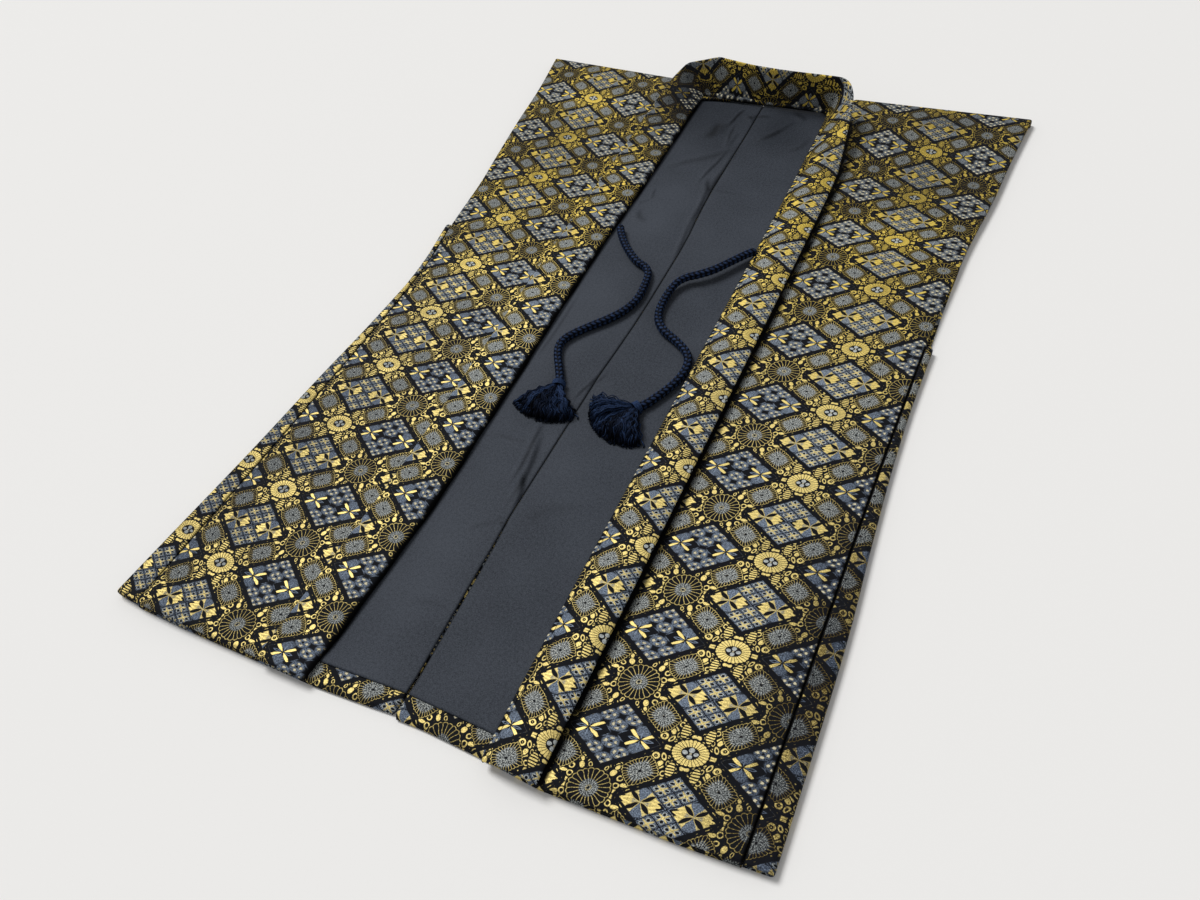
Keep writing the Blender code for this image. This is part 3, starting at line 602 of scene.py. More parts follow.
def back(side):
    """One half of the back, its hem turned up over the lining and its neck cut out."""
    sign = SIGN[side]
    top = SHOULDER - SHOULDER_TURN_UNDER - GAP
    y = np.concatenate([
        HEM + np.array([0, 0.25, 0.9, 1.8, 3.1, 5, 7.5, 10, 12.5, 14, 15, 15.9, 16.7, 17.4, 17.9,
                        19]),
        np.arange(HEM + 26, NECK_BASE - 1, 9.0), NECK_BASE + np.array([0, 1.5, 12, 26]),
        top - np.array([2, 1.2, 0.6, 0.2, 0])])
    seam = side_x(y, SEAM_COLUMN[side]) - sign * GAP
    edge = side_x(y, EDGE_COLUMN[side]) - sign * 0.6
    outer = np.where(y < ARMHOLE_END[side], seam, edge)
    opening = (0.25 * unit((HEM + 2.5 * TURN_UP - y) / (1.5 * TURN_UP))
               + 1.8 * unit(1 - (y - HEM) / 4) ** 2)
    inner = neckline(y, side, BACK_SEAM + sign * (GAP / 2 + opening))
    low, high = in_order(side, outer, inner)
    width = float(np.mean(high[:30] - low[:30]))
    x, yy = grid(low, high, y, stations(width, BACK_STEP, 3.4) / width)
    # the turned-up hem: thicker, with a dip where its upper edge goes under the lining
    swell = unit((HEM + TURN_UP + 1 - y) / 1.6)
    dip = unit((y - (HEM + TURN_UP - 3.5)) / 4.5) * swell
    thickness = (BACK_THICKNESS + 1.9 * swell) * roundness(y - HEM, 4.5) - dip
    z = np.maximum(thickness, 0.05) / 2
    z[0] = 1.6
    z[1:4] = np.maximum(z[1:4], 1.5)
    wave = 0.5 * swell[:, None] * ripple(x, yy, 0.7)
    middle = vectors(x, yy, z[:, None] + wave / 2)
    middle[..., 1] += HEM_FALL[side] * np.exp(-((x - BACK_SEAM) / 16) ** 2
                                              - ((yy - HEM) / 14) ** 2)
    wheel_x, wheel_y = BACK_WHEEL[side]
    return slab("back_panel_" + side, settle(middle), vectors(x - wheel_x, yy - wheel_y),
                thickness[:, None] + wave, BACK_EDGE)


def lining(side):
    """One half of the lining, its lower edge swelling over the turned-up hem."""
    sign = SIGN[side]
    low_edge = HEM + TURN_UP - 0.4
    top = SHOULDER - SHOULDER_TURN_UNDER
    y = np.concatenate([low_edge + stations(NECK_BASE - low_edge, LINING_STEP, 3.0)[:-5],
                        NECK_BASE + np.array([0, 1.5, 15]), top - np.array([3, 1.5, 0.5, 0])])
    outer = side_x(y, SEAM_COLUMN[side]) - sign * LINING_MARGIN
    inner = table_value(y, LINING_SEAM_LINE) + sign * GAP / 2
    if side == "right":
        inner = inner + 1.3 * unit((-250 - y) / 60) ** 0.8
    inner = neckline(y, side, inner)
    low, high = in_order(side, outer, inner)
    width = float(np.mean(high - low))
    near = stations(2 * LINING_SHOWN, LINING_FINE_STEP, LINING_EDGE)
    across = np.concatenate([near[near < LINING_SHOWN], np.linspace(LINING_SHOWN, width - 3, 9),
                             width - 3 + np.array([1, 1.8, 2.4, 2.8, 3])]) / width
    if side == "left":
        across = 1 - across[::-1]
    x, yy = grid(low, high, y, across)
    to_seam = np.abs(x - inner[:, None])
    shown = 1 - unit((np.abs(x - LINING_SEAM) - LINING_COVERED) / 8)
    lift, shade = folds(x, yy)
    lift = ((lift + ripple(x, yy, 2.9, 0.5)) * np.clip(to_seam / 2, 0.4, 1) * shown
            * unit((NECK_BASE - 4 - yy) / 12))
    swell = 1.3 * np.exp(-((yy - low_edge) / 9) ** 2) * shown
    middle = settle(vectors(x, yy, LINING_MIDDLE + lift + 0.6 * swell))
    # painted shade beside the folds, and in the narrow gap of the seam
    painted_shade_and_tone = np.maximum(shade, 0.55 * unit(1.6 - to_seam))
    if side == "left":
        # painted shade in the hollow beside the seam, and the painted shadow that the collar's
        # rolled edge casts on the lining
        valley_shade = table_value(yy, LINING_VALLEY_SHADE) * np.exp(
            -(to_seam / (2.6 + np.sin(yy / 11))) ** 2)
        wave = 0.6 * np.sin(yy / 23) + 0.5 * np.sin(yy / 9.1)
        collar_shadow = unit((collar_x(yy, side, FOLD) + 0.8 + wave - x) / 1.5)
        painted_shade_and_tone = np.maximum(np.maximum(painted_shade_and_tone, valley_shade), collar_shadow)
    return slab("lining_sheet_" + side, middle, vectors(x, yy), LINING_THICKNESS + swell,
                LINING_EDGE, painted_shade_and_tone)


def collar():
    """The collar band in one strip, turned outwards, from hem to hem round the neck."""
    rows = dense(COLLAR, 10)
    travelled = travel((rows[:, 0:2] + rows[:, 2:4]) / 2)
    wanted = stations(travelled[-1], COLLAR_STEP, END_ROUND)
    half = FRONT_THICKNESS / 2
    drop = COLLAR_MIDDLE - FRONT_MIDDLE
    angles = np.linspace(-0.25 * math.pi, 0.5 * math.pi, 9)
    t = stations(1.0, 1 / 17, 0.05)[1:]
    bend = np.concatenate([angles, np.full(len(t), math.pi / 2)])
    arc_z = FRONT_MIDDLE + 0.4 + (drop - 0.4) * np.sin(angles) * np.where(angles < 0, 0.25, 1)
    paths, places, shades = [], [], []
    for fold_x, fold_y, free_x, free_y, free_top, crown, row, column in at_travel(
            rows, travelled, wanted):
        fold, free = Vector((fold_x, fold_y)), Vector((free_x, free_y))
        out = (free - fold).normalized()
        span = (free - fold).length - 2 * half
        roll = min(drop, 0.3 * span)
        arc_x = roll * (1 - np.cos(angles)) * np.where(angles < 0, 0.6, 1)
        chord = np.array([span - roll, free_top - half - COLLAR_MIDDLE])
        rise = np.array([-chord[1], chord[0]]) / np.linalg.norm(chord)
        bulge = crown * 4 * t * (1 - t)
        x = np.concatenate([arc_x, roll + chord[0] * t + rise[0] * bulge])
        z = np.concatenate([arc_z, COLLAR_MIDDLE + chord[1] * t + rise[1] * bulge])
        root = fold + out * half
        path = vectors(root.x + out.x * x, root.y + out.y * x, z)
        paths.append(path)
        places.append(vectors(travel(path) + column * REPEAT_X, row * REPEAT_Y))
        # painted shade over the side of the rolled fold that faces away from the light
        from_fold = x + half * (1 - np.cos(bend))
        wave = 0.5 * math.sin(row * 9) + 0.4 * math.sin(row * 23)
        dark = table_value(row, COLLAR_SHADE)
        shades.append(unit((dark + wave - from_fold) / 1.4) * (dark > 0))
    middle, cloth, painted_shade_and_tone = [np.array(values)[:, ::-1] for values in (paths, places, shades)]
    return slab("collar_band", settle(middle, shoulders=False), cloth, COLLAR_THICKNESS,
                COLLAR_EDGE, painted_shade_and_tone)


# ---- materials ----

def new_node(tree, kind, inputs, output=0, **settings):
    """One output of a new shader node with these settings, its inputs by name or number."""
    node = tree.nodes.new("ShaderNode" + kind)
    for name, value in settings.items():
        setattr(node, name, value)
    plug(node, inputs)
    return Field(node.outputs[output])


def plug(node, inputs):
    """Link a node's inputs to Fields, or write plain values on them."""
    for key, value in inputs.items():
        if isinstance(value, Field):
            node.id_data.links.new(value.socket, node.inputs[key])
        else:
            node.inputs[key].default_value = value


class Field:
    """A number, place or colour at each point of a material. Numbers have plain arithmetic, and
    | and & for the larger and the smaller of two."""

    def __init__(self, socket):
        self.socket = socket
        self.tree = socket.id_data

    def outputs(self):
        """Every output of the node that gives this one."""
        return {output.name: Field(output) for output in self.socket.node.outputs}

    def math(self, operation, *others):
        return new_node(self.tree, "Math", dict(enumerate((self, *others))), operation=operation)

    def named(operation):
        return lambda self, *others: self.math(operation, *others)

    __add__ = __radd__ = named("ADD")
    __sub__, __mul__ = named("SUBTRACT"), named("MULTIPLY")
    __or__, __and__ = named("MAXIMUM"), named("MINIMUM")
    abs, sine, cosine = named("ABSOLUTE"), named("SINE"), named("COSINE")
    root, fold, angle = named("SQRT"), named("PINGPONG"), named("ARCTAN2")

    def __rsub__(self, other):
        return self * -1 + other

    def __truediv__(self, number):
        return self * (1 / number)

    def step(self, low, high):
        """0 below low and 1 above high, or the other way round where low is the higher."""
        flip = float(low > high)
        inputs = {"Value": self, "From Min": min(low, high), "From Max": max(low, high),
                  "To Min": flip, "To Max": 1 - flip}
        return new_node(self.tree, "MapRange", inputs, interpolation_type="SMOOTHSTEP")

    def line(self, width, soft=0.3):
        """1 where the number is nearer to 0 than half the width."""
        return self.abs().step(width / 2 + soft / 2, width / 2 - soft / 2)

    def towards(self, other, share):
        """This number, moved towards another by a share of the way."""
        return new_node(self.tree, "Mix", {0: share, 2: self, 3: other}, data_type="FLOAT")


def length_of(x, y):
    return (x * x + y * y).root()


def srgb(*seen):
    """A colour seen as 0 to 255, as the shader's own linear numbers."""
    return (*[((c / 255 + 0.055) / 1.055) ** 2.4 if c > 10 else c / 255 / 12.92
              for c in seen], 1.0)


def mix_colour(share, first, second):
    """The first colour, moved towards the second by a share of the way."""
    first, second = [srgb(*colour) if isinstance(colour, tuple) else colour
                     for colour in (first, second)]
    return new_node(share.tree, "Mix", {0: share, 6: first, 7: second}, 2, data_type="RGBA")


def noise(place, scale, detail=2, stretch=None, roughness=0.5):
    """Noise from 0 to 1, finer in each direction where its stretch is larger."""
    if stretch:
        place = new_node(place.tree, "Mapping", {"Scale": stretch, "Vector": place})
    inputs = {"Scale": scale, "Detail": detail, "Roughness": roughness, "Vector": place}
    return new_node(place.tree, "TexNoise", inputs, "Fac")


def split(place):
    return list(new_node(place.tree, "SeparateXYZ", {0: place}).outputs().values())


def combine(x, y):
    return new_node(x.tree, "CombineXYZ", {0: x, 1: y})


def spot(plane, centre, degrees, radii):
    """Distance from the centre of an oval, 1 at its rim, and the place in its own frame."""
    inputs = {"Location": (*centre, 0), "Rotation": (0, 0, math.radians(degrees)),
              "Scale": (*radii, 1), "Vector": plane}
    place = new_node(plane.tree, "Mapping", inputs, vector_type="TEXTURE")
    return new_node(plane.tree, "VectorMath", {0: place}, "Value", operation="LENGTH"), place


def leaf(along, aside, middle, half_length, half_width):
    """Below 0 inside a pointed leaf that lies along a line."""
    bow = (along - middle) / half_length
    return aside + bow * bow * half_width - half_width


def lattice(u, v, wide, high):
    """Lozenges of this size side by side: the place in the nearest one, from its middle, and
    how near its two pairs of sides are."""
    e = (u / wide + v / high).fold(0.5)
    f = (u / wide - v / high).fold(0.5)
    from_e, from_f = 0.5 - e, 0.5 - f
    return (from_e + from_f) * (wide / 2), (from_e - from_f).abs() * (high / 2), e, f


def outside(zone, *fields):
    """These numbers, put out within a zone."""
    rest = 1 - zone
    return [field * rest for field in fields]


def new_material(name):
    material = bpy.data.materials.new(name)
    material.use_nodes = True
    return material, material.node_tree.nodes["Principled BSDF"]


def cloth_material(name):
    """A material, its shader, the place on the flat cloth, and the three numbers of its painted
    light: painted sheen and shade, painted shade, and paleness.
    """
    material, shader = new_material(name)
    cloth, light = [new_node(material.node_tree, "Attribute", {}, "Vector", attribute_name=kind)
                    for kind in ("cloth", "light")]
    return material, shader, cloth, *split(light)


def surface(shader, colour, roughness, specular, height, strength, distance):
    """Give a shader its colour and gloss, and its bump from a height."""
    inputs = {"Strength": strength, "Distance": distance, "Height": height}
    plug(shader, {"Base Color": colour, "Roughness": roughness, "Specular IOR Level": specular,
                  "Normal": new_node(shader.id_data, "Bump", inputs, "Normal")})


def brocade_material():
    """Brocade: bands of gold scrollwork round diamonds, wheels, rings and medallions, on a near
    black ground. Sizes are millimetres, in the quarter of the repeat that x and y fold back to."""
    material, shader, cloth, painted_sheen_and_shade, painted_shade_and_tone, paleness = cloth_material("brocade")
    warp = noise(cloth, 0.16, 1) - 0.5
    weft = noise(cloth, 0.145, 1, stretch=(1, 1.13, 1)) - 0.5
    fuzz = noise(cloth, 1.15) - 0.5
    threads = noise(cloth, 1, stretch=(0.6, 3.4, 1), roughness=0.65)
    half_x, half_y = REPEAT_X / 2, REPEAT_Y / 2
    raw_x, raw_y, _ = split(cloth)
    x = (raw_x + warp * 1.5).fold(half_x)
    y = (raw_y + weft * 1.5).fold(half_y)

    # the bands: small curls parted by dark lines, with bolder scrolls laid over them
    p = x * BAND_COS + y * BAND_SIN
    q = y * BAND_COS - x * BAND_SIN
    band, folded = combine(p, q), combine(x, y)
    cells = {"Scale": 0.23, "Randomness": 0.85, "Vector": folded}
    to_line, to_heart = [new_node(x.tree, "TexVoronoi", cells, "Distance", feature=feature)
                         for feature in ("DISTANCE_TO_EDGE", "F1")]
    kind = split(to_heart.outputs()["Color"])[0]
    pit = to_heart.step(0.24, 0.17) * kind.step(0.42, 0.48)
    curl = (to_heart * 19 + kind * 9).sine().step(-0.5, 0)
    gold = to_line.step(0.15, 0.24) * (1 - pit) * (curl | kind.step(0.72, 0.66))
    inside, cover = None, None
    for centre_p, centre_q, degrees, long, short, hole in SCROLLS:
        reach, _ = spot(band, (centre_p, centre_q), degrees, (long, short))
        rim = (reach - 1) * short
        shape = rim | (hole - reach) * short if hole else rim
        inside = inside & shape if inside else shape
        cover = cover & rim if cover else rim
    hatch_leaf, hatch_place = spot(band, (49.6, -6.3), 52, (5.4, 2.9))
    hatch = (split(hatch_place)[0] * 17).sine().step(-0.45, 0.1)
    gold = gold * cover.step(0.35, 0.75) | inside.step(-0.1, -0.45)
    gold = gold * hatch_leaf.step(1.1, 1.28) | hatch_leaf.step(1.03, 0.93) * hatch
    gold *= q.abs().step(10.6, 10)

    # diamond A, round (0, half_y): crossed petals left and right, clusters of pips above and below
    av = half_y - y
    inside_a = (x / 31.5 + av / 22.8).step(1, 0.97)
    gold *= 1 - inside_a
    du, dv = (x - 17.5).abs(), av
    petal = leaf(du * 0.84 + dv * 0.543, (du * 0.543 - dv * 0.84).abs(), 6.5, 5.9, 1.2)
    side_petal = leaf(du, dv, 5.2, 3.6, 1)
    stalk = leaf(dv, du, 3.8, 3.2, 0.55)
    patch = (length_of(du, (dv - 6.3) * 1.35) + fuzz * 4.5).step(5.6, 4.9) * dv.step(1.8, 2.6)
    flower = (du + dv * 1.32).step(15.6, 15) * inside_a
    pale = patch * (0.5 + fuzz * 1.5) | (side_petal + 0.25).line(0.55) * 0.8
    blue = (pale | stalk.step(0.15, -0.15) * 0.85) * flower
    gold = gold.towards(petal.step(0.12, -0.2), flower)
    bright = petal.step(0.3, -0.3) * flower
    lu, lv, _, _ = lattice(x, av - 12.4, 17.4, 12.6)
    pips = length_of(lu - 3.4, lv * 1.1) & length_of(lu * 0.9, lv - 2.7)
    zone = inside_a * (1 - flower)
    patchy = (fuzz * 5 + 0.35).step(-0.4, 0.6)
    square = (length_of(lu, lv * 1.25) + fuzz * 3.4).step(6.6, 5.4)
    gaps = pips.step(1.1, 1.6) * length_of(lu, lv * 1.2).step(0.8, 1.4)
    blue |= square * gaps * (0.12 + patchy * 0.55) * zone
    cream = (pips + fuzz * 2.6).step(1.45, 0.7) * square * zone * 0.9

    # diamond B, round (half_x, 0): crowned flowers left and right, florets above and below
    bu, bv = half_x - x, y
    inside_b = (bu / 32 + bv / 23.2).step(1, 0.97)
    gold, blue = outside(inside_b, gold, blue)
    du, dv = (bu - 17).abs(), bv
    reach = length_of(du, dv)
    flower = (du + dv * 1.34).step(15.9, 15.3) * inside_b
    dark_leaf = leaf(du * 0.79 + dv * 0.613, (du * 0.613 - dv * 0.79).abs(), 5.6, 5.2, 1.75)
    lobes = (dv * 1.7).cosine() * 1.5 + fuzz * 2
    crown = (dv - du * 0.72).step(0.3, -0.3) * (du - lobes).step(12.2, 11.4)
    north = (dv - du * 0.85).step(-0.2, 0.4) * (dv + du * 0.25 + fuzz * 3).step(10.6, 9.8)
    streak = (dv * 2.6 + du * 0.5 + fuzz * 3).sine().step(-0.5, 0.4)
    crown_gold = crown * (reach.step(3.6, 6.4) * (0.75 + streak * 0.25) | streak * 0.55)
    tip_gold = north * (du * 1.25 - dv * 0.62 + fuzz * 2).step(0, 0.8) * 0.85
    outline = dark_leaf.line(0.5, 0.25) * 0.75
    body = dark_leaf.step(0, 0.3)
    gold = gold.towards((crown_gold | tip_gold) * body | outline, flower)
    pale = crown * reach.step(7, 4.6) * 0.6 + north * (0.6 + fuzz * 1.5)
    blue = blue.towards(pale * body, flower)
    bright |= crown_gold * flower * 0.6
    lu, lv, e, f = lattice(bu, bv - 11.8, 15.8, 11.6)
    spread = length_of(lu, lv * 1.25)
    eye = length_of((lu - 3.3) * 0.72, lv * 1.25) & length_of(lu * 1.1, (lv - 2.5) * 0.8)
    cross = (lu * 0.76 - lv + fuzz * 1.2).abs().step(0.95, 0.5) * spread.step(5.2, 3.6)
    heart = spread.step(1.7, 1.1)
    loops = (eye + fuzz * 0.8 - 1.3).line(0.62) * spread.step(6.6, 5.8)
    parted = (e & f).step(0.02, 0.045)
    zone = inside_b * (1 - flower)
    gold = gold.towards((cross | heart) * parted * (0.75 + fuzz), zone)
    between = eye.step(1.5, 1.9) * (0.42 + fuzz * 2.4)
    blue = blue.towards((loops * (0.95 + fuzz) | between) * parted, zone)
    silver = loops * zone

    # wheels: thin spokes round a woolly middle
    reach = length_of(x, y)
    turn = y.angle(x)
    spokes = (turn * 11).sine()
    wheel = reach.step(15.2, 14.6)
    gold, blue, cream = outside(wheel, gold, blue, cream)
    rim = (reach - spokes.abs() * 0.9 - 12.8).line(0.62, 0.28)
    rays = (spokes * reach / 11).line(0.45, 0.2) * reach.step(5.6, 6.4) * reach.step(13.4, 12.9)
    hub = (reach + fuzz * 2.6).step(6.6, 5.6)
    fibre = (turn * 24).sine() * 0.35 + fuzz * 3.4 + 0.38
    gold = gold | (rim | rays) * 0.85 | (reach - 1.5).line(0.7, 0.4) * 0.5
    blue |= hub * fibre * reach.step(0.6, 1.1)

    # rings: broad gold petals round a dark oval with four small leaves
    rx, ry = half_x - x, half_y - y
    reach = length_of(rx, ry * 1.28)
    cuts = ((ry * 1.28).angle(rx) * 13).sine()
    ring = reach.step(13.3, 12.8)
    gold, blue = outside(ring, gold, blue)
    annulus = (reach - cuts.abs() * 0.7).step(11.5, 11.1) * reach.step(5.4, 5.9)
    gaps = (cuts * reach / 13).line(0.42, 0.25)
    gold |= annulus * (1 - gaps * 0.9)
    leaves = (length_of(rx - 3.4, ry * 1.2) & length_of(rx, ry - 2.4)) + fuzz * 0.6
    blue |= leaves.step(1.85, 1.4)
    cream |= length_of(rx, ry).step(0.9, 0.5) * 0.6

    # medallions half way along the bands: a woolly flower in a frame of small dark cells
    mp, mq = (p - 32.4).abs() * 0.97, q.abs() * 1.22
    reach = (mp | mq).towards(length_of(mp, mq), 0.36)
    medallion = reach.step(11.4, 10.9)
    turn = mq.angle(mp)
    ticks = (turn * 14).sine()
    gold, blue = outside(medallion, gold, blue)
    rim = (reach - ticks.abs() * 0.6 - 9.9).line(0.55, 0.25)
    bars = (ticks * reach / 14).line(0.36, 0.15) * reach.step(6.4, 7.2) * reach.step(10.4, 9.9)
    gold |= (rim | bars) * 0.85 * medallion
    wool = (reach + ticks.abs() * 1.2 + fuzz * 3.4).step(9, 7.8)
    tuft = (turn * 22).sine() * 0.3 + fuzz * 3.6 + 0.42
    blue |= wool * tuft * length_of(mp, mq).step(0.8, 1.4)
    gold |= wool * (fuzz * 4 - 0.55).step(0, 0.5) * 0.55
    grey = wool | hub | ring | silver

    # threads, the painted sheen: a slow change in how the gold takes the light, and the painted
    # shade under other cloth
    gold &= 1
    pick = (threads - 0.5) * 2 + fuzz * 1.8
    gold_tone_and_painted_sheen = (pick + (noise(cloth, 0.03, 1) - 0.5) * 0.7 + painted_sheen_and_shade + bright * 0.22
            - (wheel | medallion) * 0.24 + 0.13)
    gold_dark = mix_colour(paleness, (62, 50, 20), (84, 70, 34))
    gold_light = mix_colour(paleness, (240, 211, 99), (242, 220, 140))
    pale_tone_and_painted_sheen = pick * 0.8 + painted_sheen_and_shade * 0.8 + 0.1
    blue_colour = mix_colour(pale_tone_and_painted_sheen, (52, 62, 80), (156, 172, 194))
    grey_colour = mix_colour(pale_tone_and_painted_sheen, (74, 80, 84), (206, 212, 210))
    greyness = grey | (1 - paleness) * 0.6
    pale_colour = mix_colour(greyness, blue_colour, grey_colour)
    ground = mix_colour(threads, (3, 4, 7), (26, 28, 34))
    colour = mix_colour((blue & 1) * (0.7 + threads * 0.5), ground, pale_colour)
    colour = mix_colour(gold, colour, mix_colour(gold_tone_and_painted_sheen, gold_dark, gold_light))
    colour = mix_colour(cream, colour, (216, 208, 178))
    # painted shade: where the painted sheen falls low the cloth is darkened towards near black, as
    # it is under other cloth
    painted_dim_shade = (0.1 - painted_sheen_and_shade) * 1.5 & 0.75
    colour = mix_colour(painted_shade_and_tone | painted_dim_shade, colour, (3, 3, 4))
    plug(shader, {"Metallic": gold * 0.45})
    surface(shader, colour, 0.66 - gold * 0.22 + threads * 0.1, 0.07, threads + gold * 0.6, 0.5,
            0.0003)
    return material


def lining_material():
    """Slate grey lining: a fine twill with a low sheen, with painted sheen, painted shade and
    painted shadow laid on its colour.
    """
    material, shader, cloth, painted_sheen_and_shade, painted_shade_and_tone, _ = cloth_material("lining")
    grain = noise(cloth, 0.9, 3, stretch=(1, 1.4, 1), roughness=0.8)
    slow = noise(cloth, 0.02)
    x, y, _ = split(cloth)
    twill = ((x + y) * 9).sine()
    slub = noise(cloth, 0.4)
    # the tone holds the twill's grain and the painted sheen and shade of the laid cloth
    tone = grain * 3.2 + slub * 0.8 + slow * 0.5 + twill * 0.08 + painted_sheen_and_shade - 2.2
    colour = mix_colour(painted_shade_and_tone, mix_colour(tone, (34, 38, 45), (67, 72, 81)), (2, 3, 5))
    surface(shader, colour, grain * 0.25 + 0.45, 0.07, grain * 0.7 + twill * 0.3, 0.3, 0.0002)
    return material


def braid_material():
    """Navy silk thread of the ties and tassels, with painted shade in the braid's grooves, at the
    tassel's cut ends and by its knot, and the tassel threads' own tone.
    """
    material, shader, cloth, _, painted_shade_and_tone, _ = cloth_material("braid")
    fibre = noise(cloth, 2.2, 3, stretch=(0.25, 2.4, 1), roughness=0.65)
    tone = fibre * 3.2 + noise(cloth, 0.12, 1) * 0.6 - 1.5
    colour = mix_colour(painted_shade_and_tone, mix_colour(tone, (3, 4, 11), (58, 82, 126)), (1, 1, 3))
    surface(shader, colour, fibre * 0.2 + 0.5, 0.06, fibre, 0.5, 0.0002)
    return material


# ---- ties ----

def along_route(side, spacing):
    """Points at an even spacing on the smooth curve of a cord's route, and their travel."""
    rows = dense([(x, y, CORD_REST + rise) for x, y, rise in ROUTES[side]], 12)
    travelled = travel(rows)
    wanted = np.linspace(0, travelled[-1], int(travelled[-1] / spacing) + 1)
    return at_travel(rows, travelled, wanted), wanted


def frames_along(points):
    """For each point of a path: its direction, a level direction across it, and the third one."""
    ahead = np.gradient(points, axis=0)
    ahead /= np.linalg.norm(ahead, axis=1, keepdims=True)
    across = np.cross([0.0, 0.0, 1.0], ahead)
    across /= np.linalg.norm(across, axis=1, keepdims=True)
    return ahead, across, np.cross(ahead, across)


def tube(centre, across, up, radius):
    """Points and faces of a closed tube about a line, with a radius for each point round it."""
    count, sides = radius.shape
    angles = np.arange(sides)[:, None] * math.tau / sides
    out = across[:, None] * np.cos(angles) + up[:, None] * np.sin(angles)
    index = np.arange(count * sides).reshape(count, sides)
    faces = quads(np.concatenate([index, index[:, :1]], axis=1))
    faces += [index[0, ::-1].tolist(), index[-1].tolist()]
    return (centre[:, None] + out * radius[..., None]).reshape(-1, 3), faces


def thread(centre, across, up, size, sides, seed=0):
    """Points, faces and cloth places of a thin round thread."""
    points, faces = tube(centre, across, up, np.repeat(size[:, None], sides, axis=1))
    around = np.arange(sides) * math.tau / sides * size.mean() + seed * 7
    return points, faces, vectors(travel(centre)[:, None], around, seed).reshape(-1, 3)


def braided_cord(side):
    """A round braid: columns of slanted stitches that meet in a row of chevrons."""
    columns, sides, pitch, slant, depth = 6, 48, 5.0, 1.1, 0.7
    centre, travelled = along_route(side, 0.5)
    _, across, up = frames_along(centre)
    turns = np.arange(sides) / sides * columns + 0.5
    column = np.floor(turns)
    aside = turns - column - 0.5
    way = np.where(column % 2 == 0, 1.0, -1.0)
    phase = travelled[:, None] / pitch + way * aside * slant / 2 + 0.25 * (column % 4 // 2)
    plump = np.sqrt(np.clip(1 - (1.75 * aside) ** 2, 0.02, 1))
    relief = plump * np.abs(np.sin(math.pi * phase)) ** 0.6
    swell = 1 + 0.03 * np.sin(travelled / 21) + 0.02 * np.sin(travelled / 8.3 + 1)
    ends = unit(np.minimum(travelled, travelled[-1] - travelled) / 3)
    radius = CORD_DIAMETER / 2 * swell * np.sqrt(0.2 + 0.8 * ends)
    points, faces = tube(centre, across, up, radius[:, None] - depth * (1 - relief))
    # painted shade in the grooves between the stitches
    dark = np.clip((0.98 - relief) / 0.42, 0, 0.98)
    light = vectors(0.0, dark)
    return mesh_object("tie_" + side, points, faces, vectors(phase * 6, aside * 3), light), centre


def tassel(side):
    """A tassel: clumps of wavy thread that leave the knot, rise and fall to one cut edge."""
    shape = TASSELS[side]
    rng = random.Random(shape["seed"])
    end = along_route(side, 1.0)[0][-1]
    t = np.linspace(0, 1, 12)
    begun = np.minimum(1, t * 2)
    clumps = [(shape["aim"] + shape["spread"] * (2 * (k * 0.618 % 1) - 1), rng.random(),
               shape["length"], 0) for k in range(shape["clumps"])]
    points, faces, places, tones_and_shades = [], [], [], []
    for k, (clump_swing, clump_level, clump_length, lift) in enumerate(clumps + shape["raised"]):
        phase, tone = rng.random() * math.tau, 0.95 * rng.random() ** 1.4
        sway = 0.9 + 1.2 * rng.random()
        for i in range(shape["threads"]):
            swing = math.radians(clump_swing + rng.gauss(0, 3))
            level = min(1, max(0, clump_level + rng.gauss(0, 0.1)))
            length = clump_length * (0.9 + 0.12 * rng.random()) * (1 - 0.07 * level)
            out = np.array([math.cos(swing), math.sin(swing), 0])
            sideways = np.array([-out[1], out[0], 0])
            reach = length * (1.12 * t - 0.12 * t ** 5)
            root = end + out * 1.5 + sideways * rng.gauss(0, 1.2)
            wave = sway * np.sin(reach * 0.58 + phase + rng.gauss(0, 0.3)) * begun
            line = root + out * reach[:, None] + sideways * wave[:, None]
            z = ((end[2] + (level - 0.5) * 5) * (1 - t) + (THREAD_LOWEST + 2 * level + lift) * t
                 + level * shape["height"] * 1.25 * t ** 0.8 * (1 - t ** 5)
                 + 0.8 * np.sin(reach * 0.7 + phase * 2) * begun)
            line[:, 2] = np.maximum(z, THREAD_LOWEST)
            size = np.linspace(0.45, 0.62, len(t)) * (0.85 + 0.3 * rng.random())
            # darkness of each thread: its clump's own random tone, with painted shade at the cut
            # ends and by the knot
            cut = unit((t - 0.88) / 0.1) * (1 - 0.6 * (lift > 0))
            dark = np.clip(tone + 0.2 * rng.random() + cut + 0.6 * unit(1 - t * 8), 0, 0.95)
            _, across, up = frames_along(line)
            made = thread(line, across, up, size, 4, seed=k * 40 + i)
            start = len(points) * len(made[0])
            points.append(made[0])
            faces += [[n + start for n in face] for face in made[1]]
            places.append(made[2])
            tones_and_shades.append(np.repeat(dark, 4))
    return mesh_object("tassel_threads_" + side, np.concatenate(points), faces,
                       np.concatenate(places), vectors(0.0, np.concatenate(tones_and_shades)))


def winding(side):
    """The tassel's neck: thread wound round the end of the cord."""
    turns, radius, pitch, size = 5, 5.6, 1.15, 0.62
    centre, _ = along_route(side, 1.0)
    ahead = centre[-1] - centre[-4]
    ahead /= np.linalg.norm(ahead)
    across = np.cross([0.0, 0.0, 1.0], ahead)
    up = np.cross(ahead, across)
    t = np.linspace(0, turns, turns * 18 + 1)[:, None]
    axis = centre[-1] + ahead * (t * pitch - 3.2)
    line = axis + (across * np.cos(t * math.tau) + up * np.sin(t * math.tau)) * radius
    line[:, 2] = np.maximum(line[:, 2], LINING_TOP + 0.8)
    outwards = line - axis
    outwards /= np.linalg.norm(outwards, axis=1, keepdims=True)
    sideways = np.cross(frames_along(line)[0], outwards)
    points, faces, places = thread(line, sideways, outwards, np.full(len(line), size), 6)
    return mesh_object("tassel_winding_" + side, points, faces, places)


# ---- stage ----

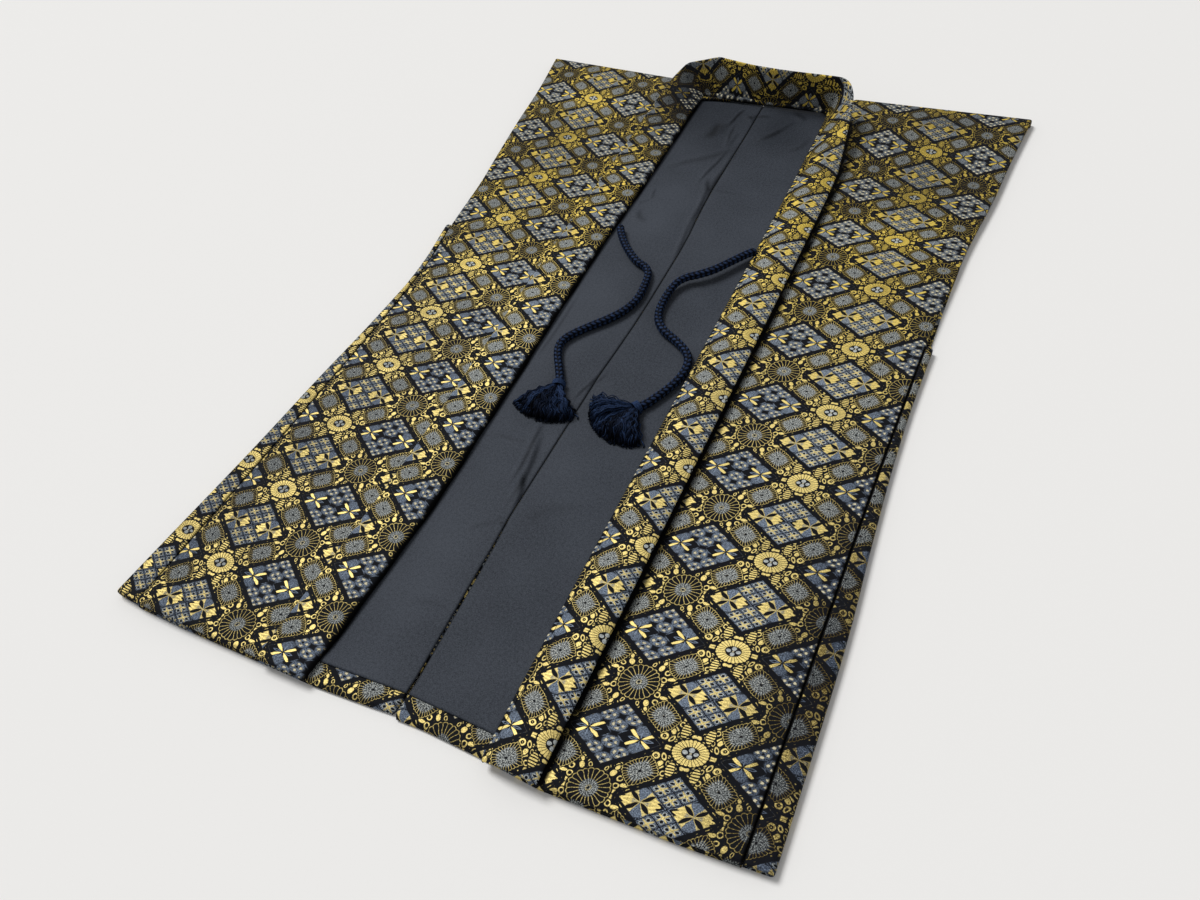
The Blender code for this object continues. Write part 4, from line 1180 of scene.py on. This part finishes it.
def camera():
    data = bpy.data.cameras.new("camera")
    data.sensor_fit = "HORIZONTAL"
    data.sensor_width = SENSOR_WIDTH
    data.lens = CAMERA_LENS
    viewer = link("camera", data)
    viewer.location = (Vector(CAMERA_AT) - Vector(ORIGIN)) * MM
    viewer.rotation_euler = [math.radians(a) for a in CAMERA_TURN]
    bpy.context.scene.camera = viewer


def studio():
    """A pale floor, one soft key light and a pale world."""
    material, shader = new_material("floor")
    plug(shader, {"Base Color": srgb(232, 232, 232), "Roughness": 0.85})
    mesh = bpy.data.meshes.new("floor")
    corners = [(x * FLOOR_HALF, y * FLOOR_HALF, 0) for x, y in ((-1, -1), (1, -1), (1, 1), (-1, 1))]
    mesh.from_pydata(corners, [], [(0, 1, 2, 3)])
    mesh.materials.append(material)
    floor = link("floor", mesh)
    floor.location.z = -FLOOR_BELOW
    world = bpy.data.worlds.new("studio")
    world.use_nodes = True
    plug(world.node_tree.nodes["Background"],
         {"Color": (1.0, 0.99, 0.975, 1.0), "Strength": WORLD_STRENGTH})
    bpy.context.scene.world = world
    bpy.context.scene.view_settings.view_transform = "Standard"
    data = bpy.data.lights.new("key", "SUN")
    data.energy = KEY_STRENGTH
    data.angle = math.radians(KEY_SOFTNESS)
    data.color = (1.0, 0.99, 0.97)
    link("key", data).rotation_euler = Vector(KEY_FROM).to_track_quat("Z", "Y").to_euler()


def build():
    """Make every piece. The sheets of cloth come back by name."""
    brocade, slate, navy = brocade_material(), lining_material(), braid_material()
    camera()
    studio()
    sheets = {}
    for side in ("left", "right"):
        sheets["front_" + side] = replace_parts(front(side), "front_" + side)
        sheets["gusset_" + side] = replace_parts(gusset(side), "gusset_" + side)
        sheets["back_" + side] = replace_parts(back(side), "back_" + side)
        sheets["lining_" + side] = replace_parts(lining(side), "lining_" + side)
    sheets["collar"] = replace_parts(collar(), "collar_left", "collar_neck", "collar_right")
    for name, piece in sheets.items():
        piece.data.materials.append(slate if name.startswith("lining") else brocade)
        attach(piece, "root")
    for side in ("left", "right"):
        piece, path = braided_cord(side)
        tuft, neck = tassel(side), winding(side)
        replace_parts(piece, "cord_" + side)
        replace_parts(tuft, "tassel_" + side)
        for one in (piece, tuft, neck):
            one.data.materials.append(navy)
            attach(one, "root")
        path = path - ORIGIN
    return sheets


for name, piece in build().items():
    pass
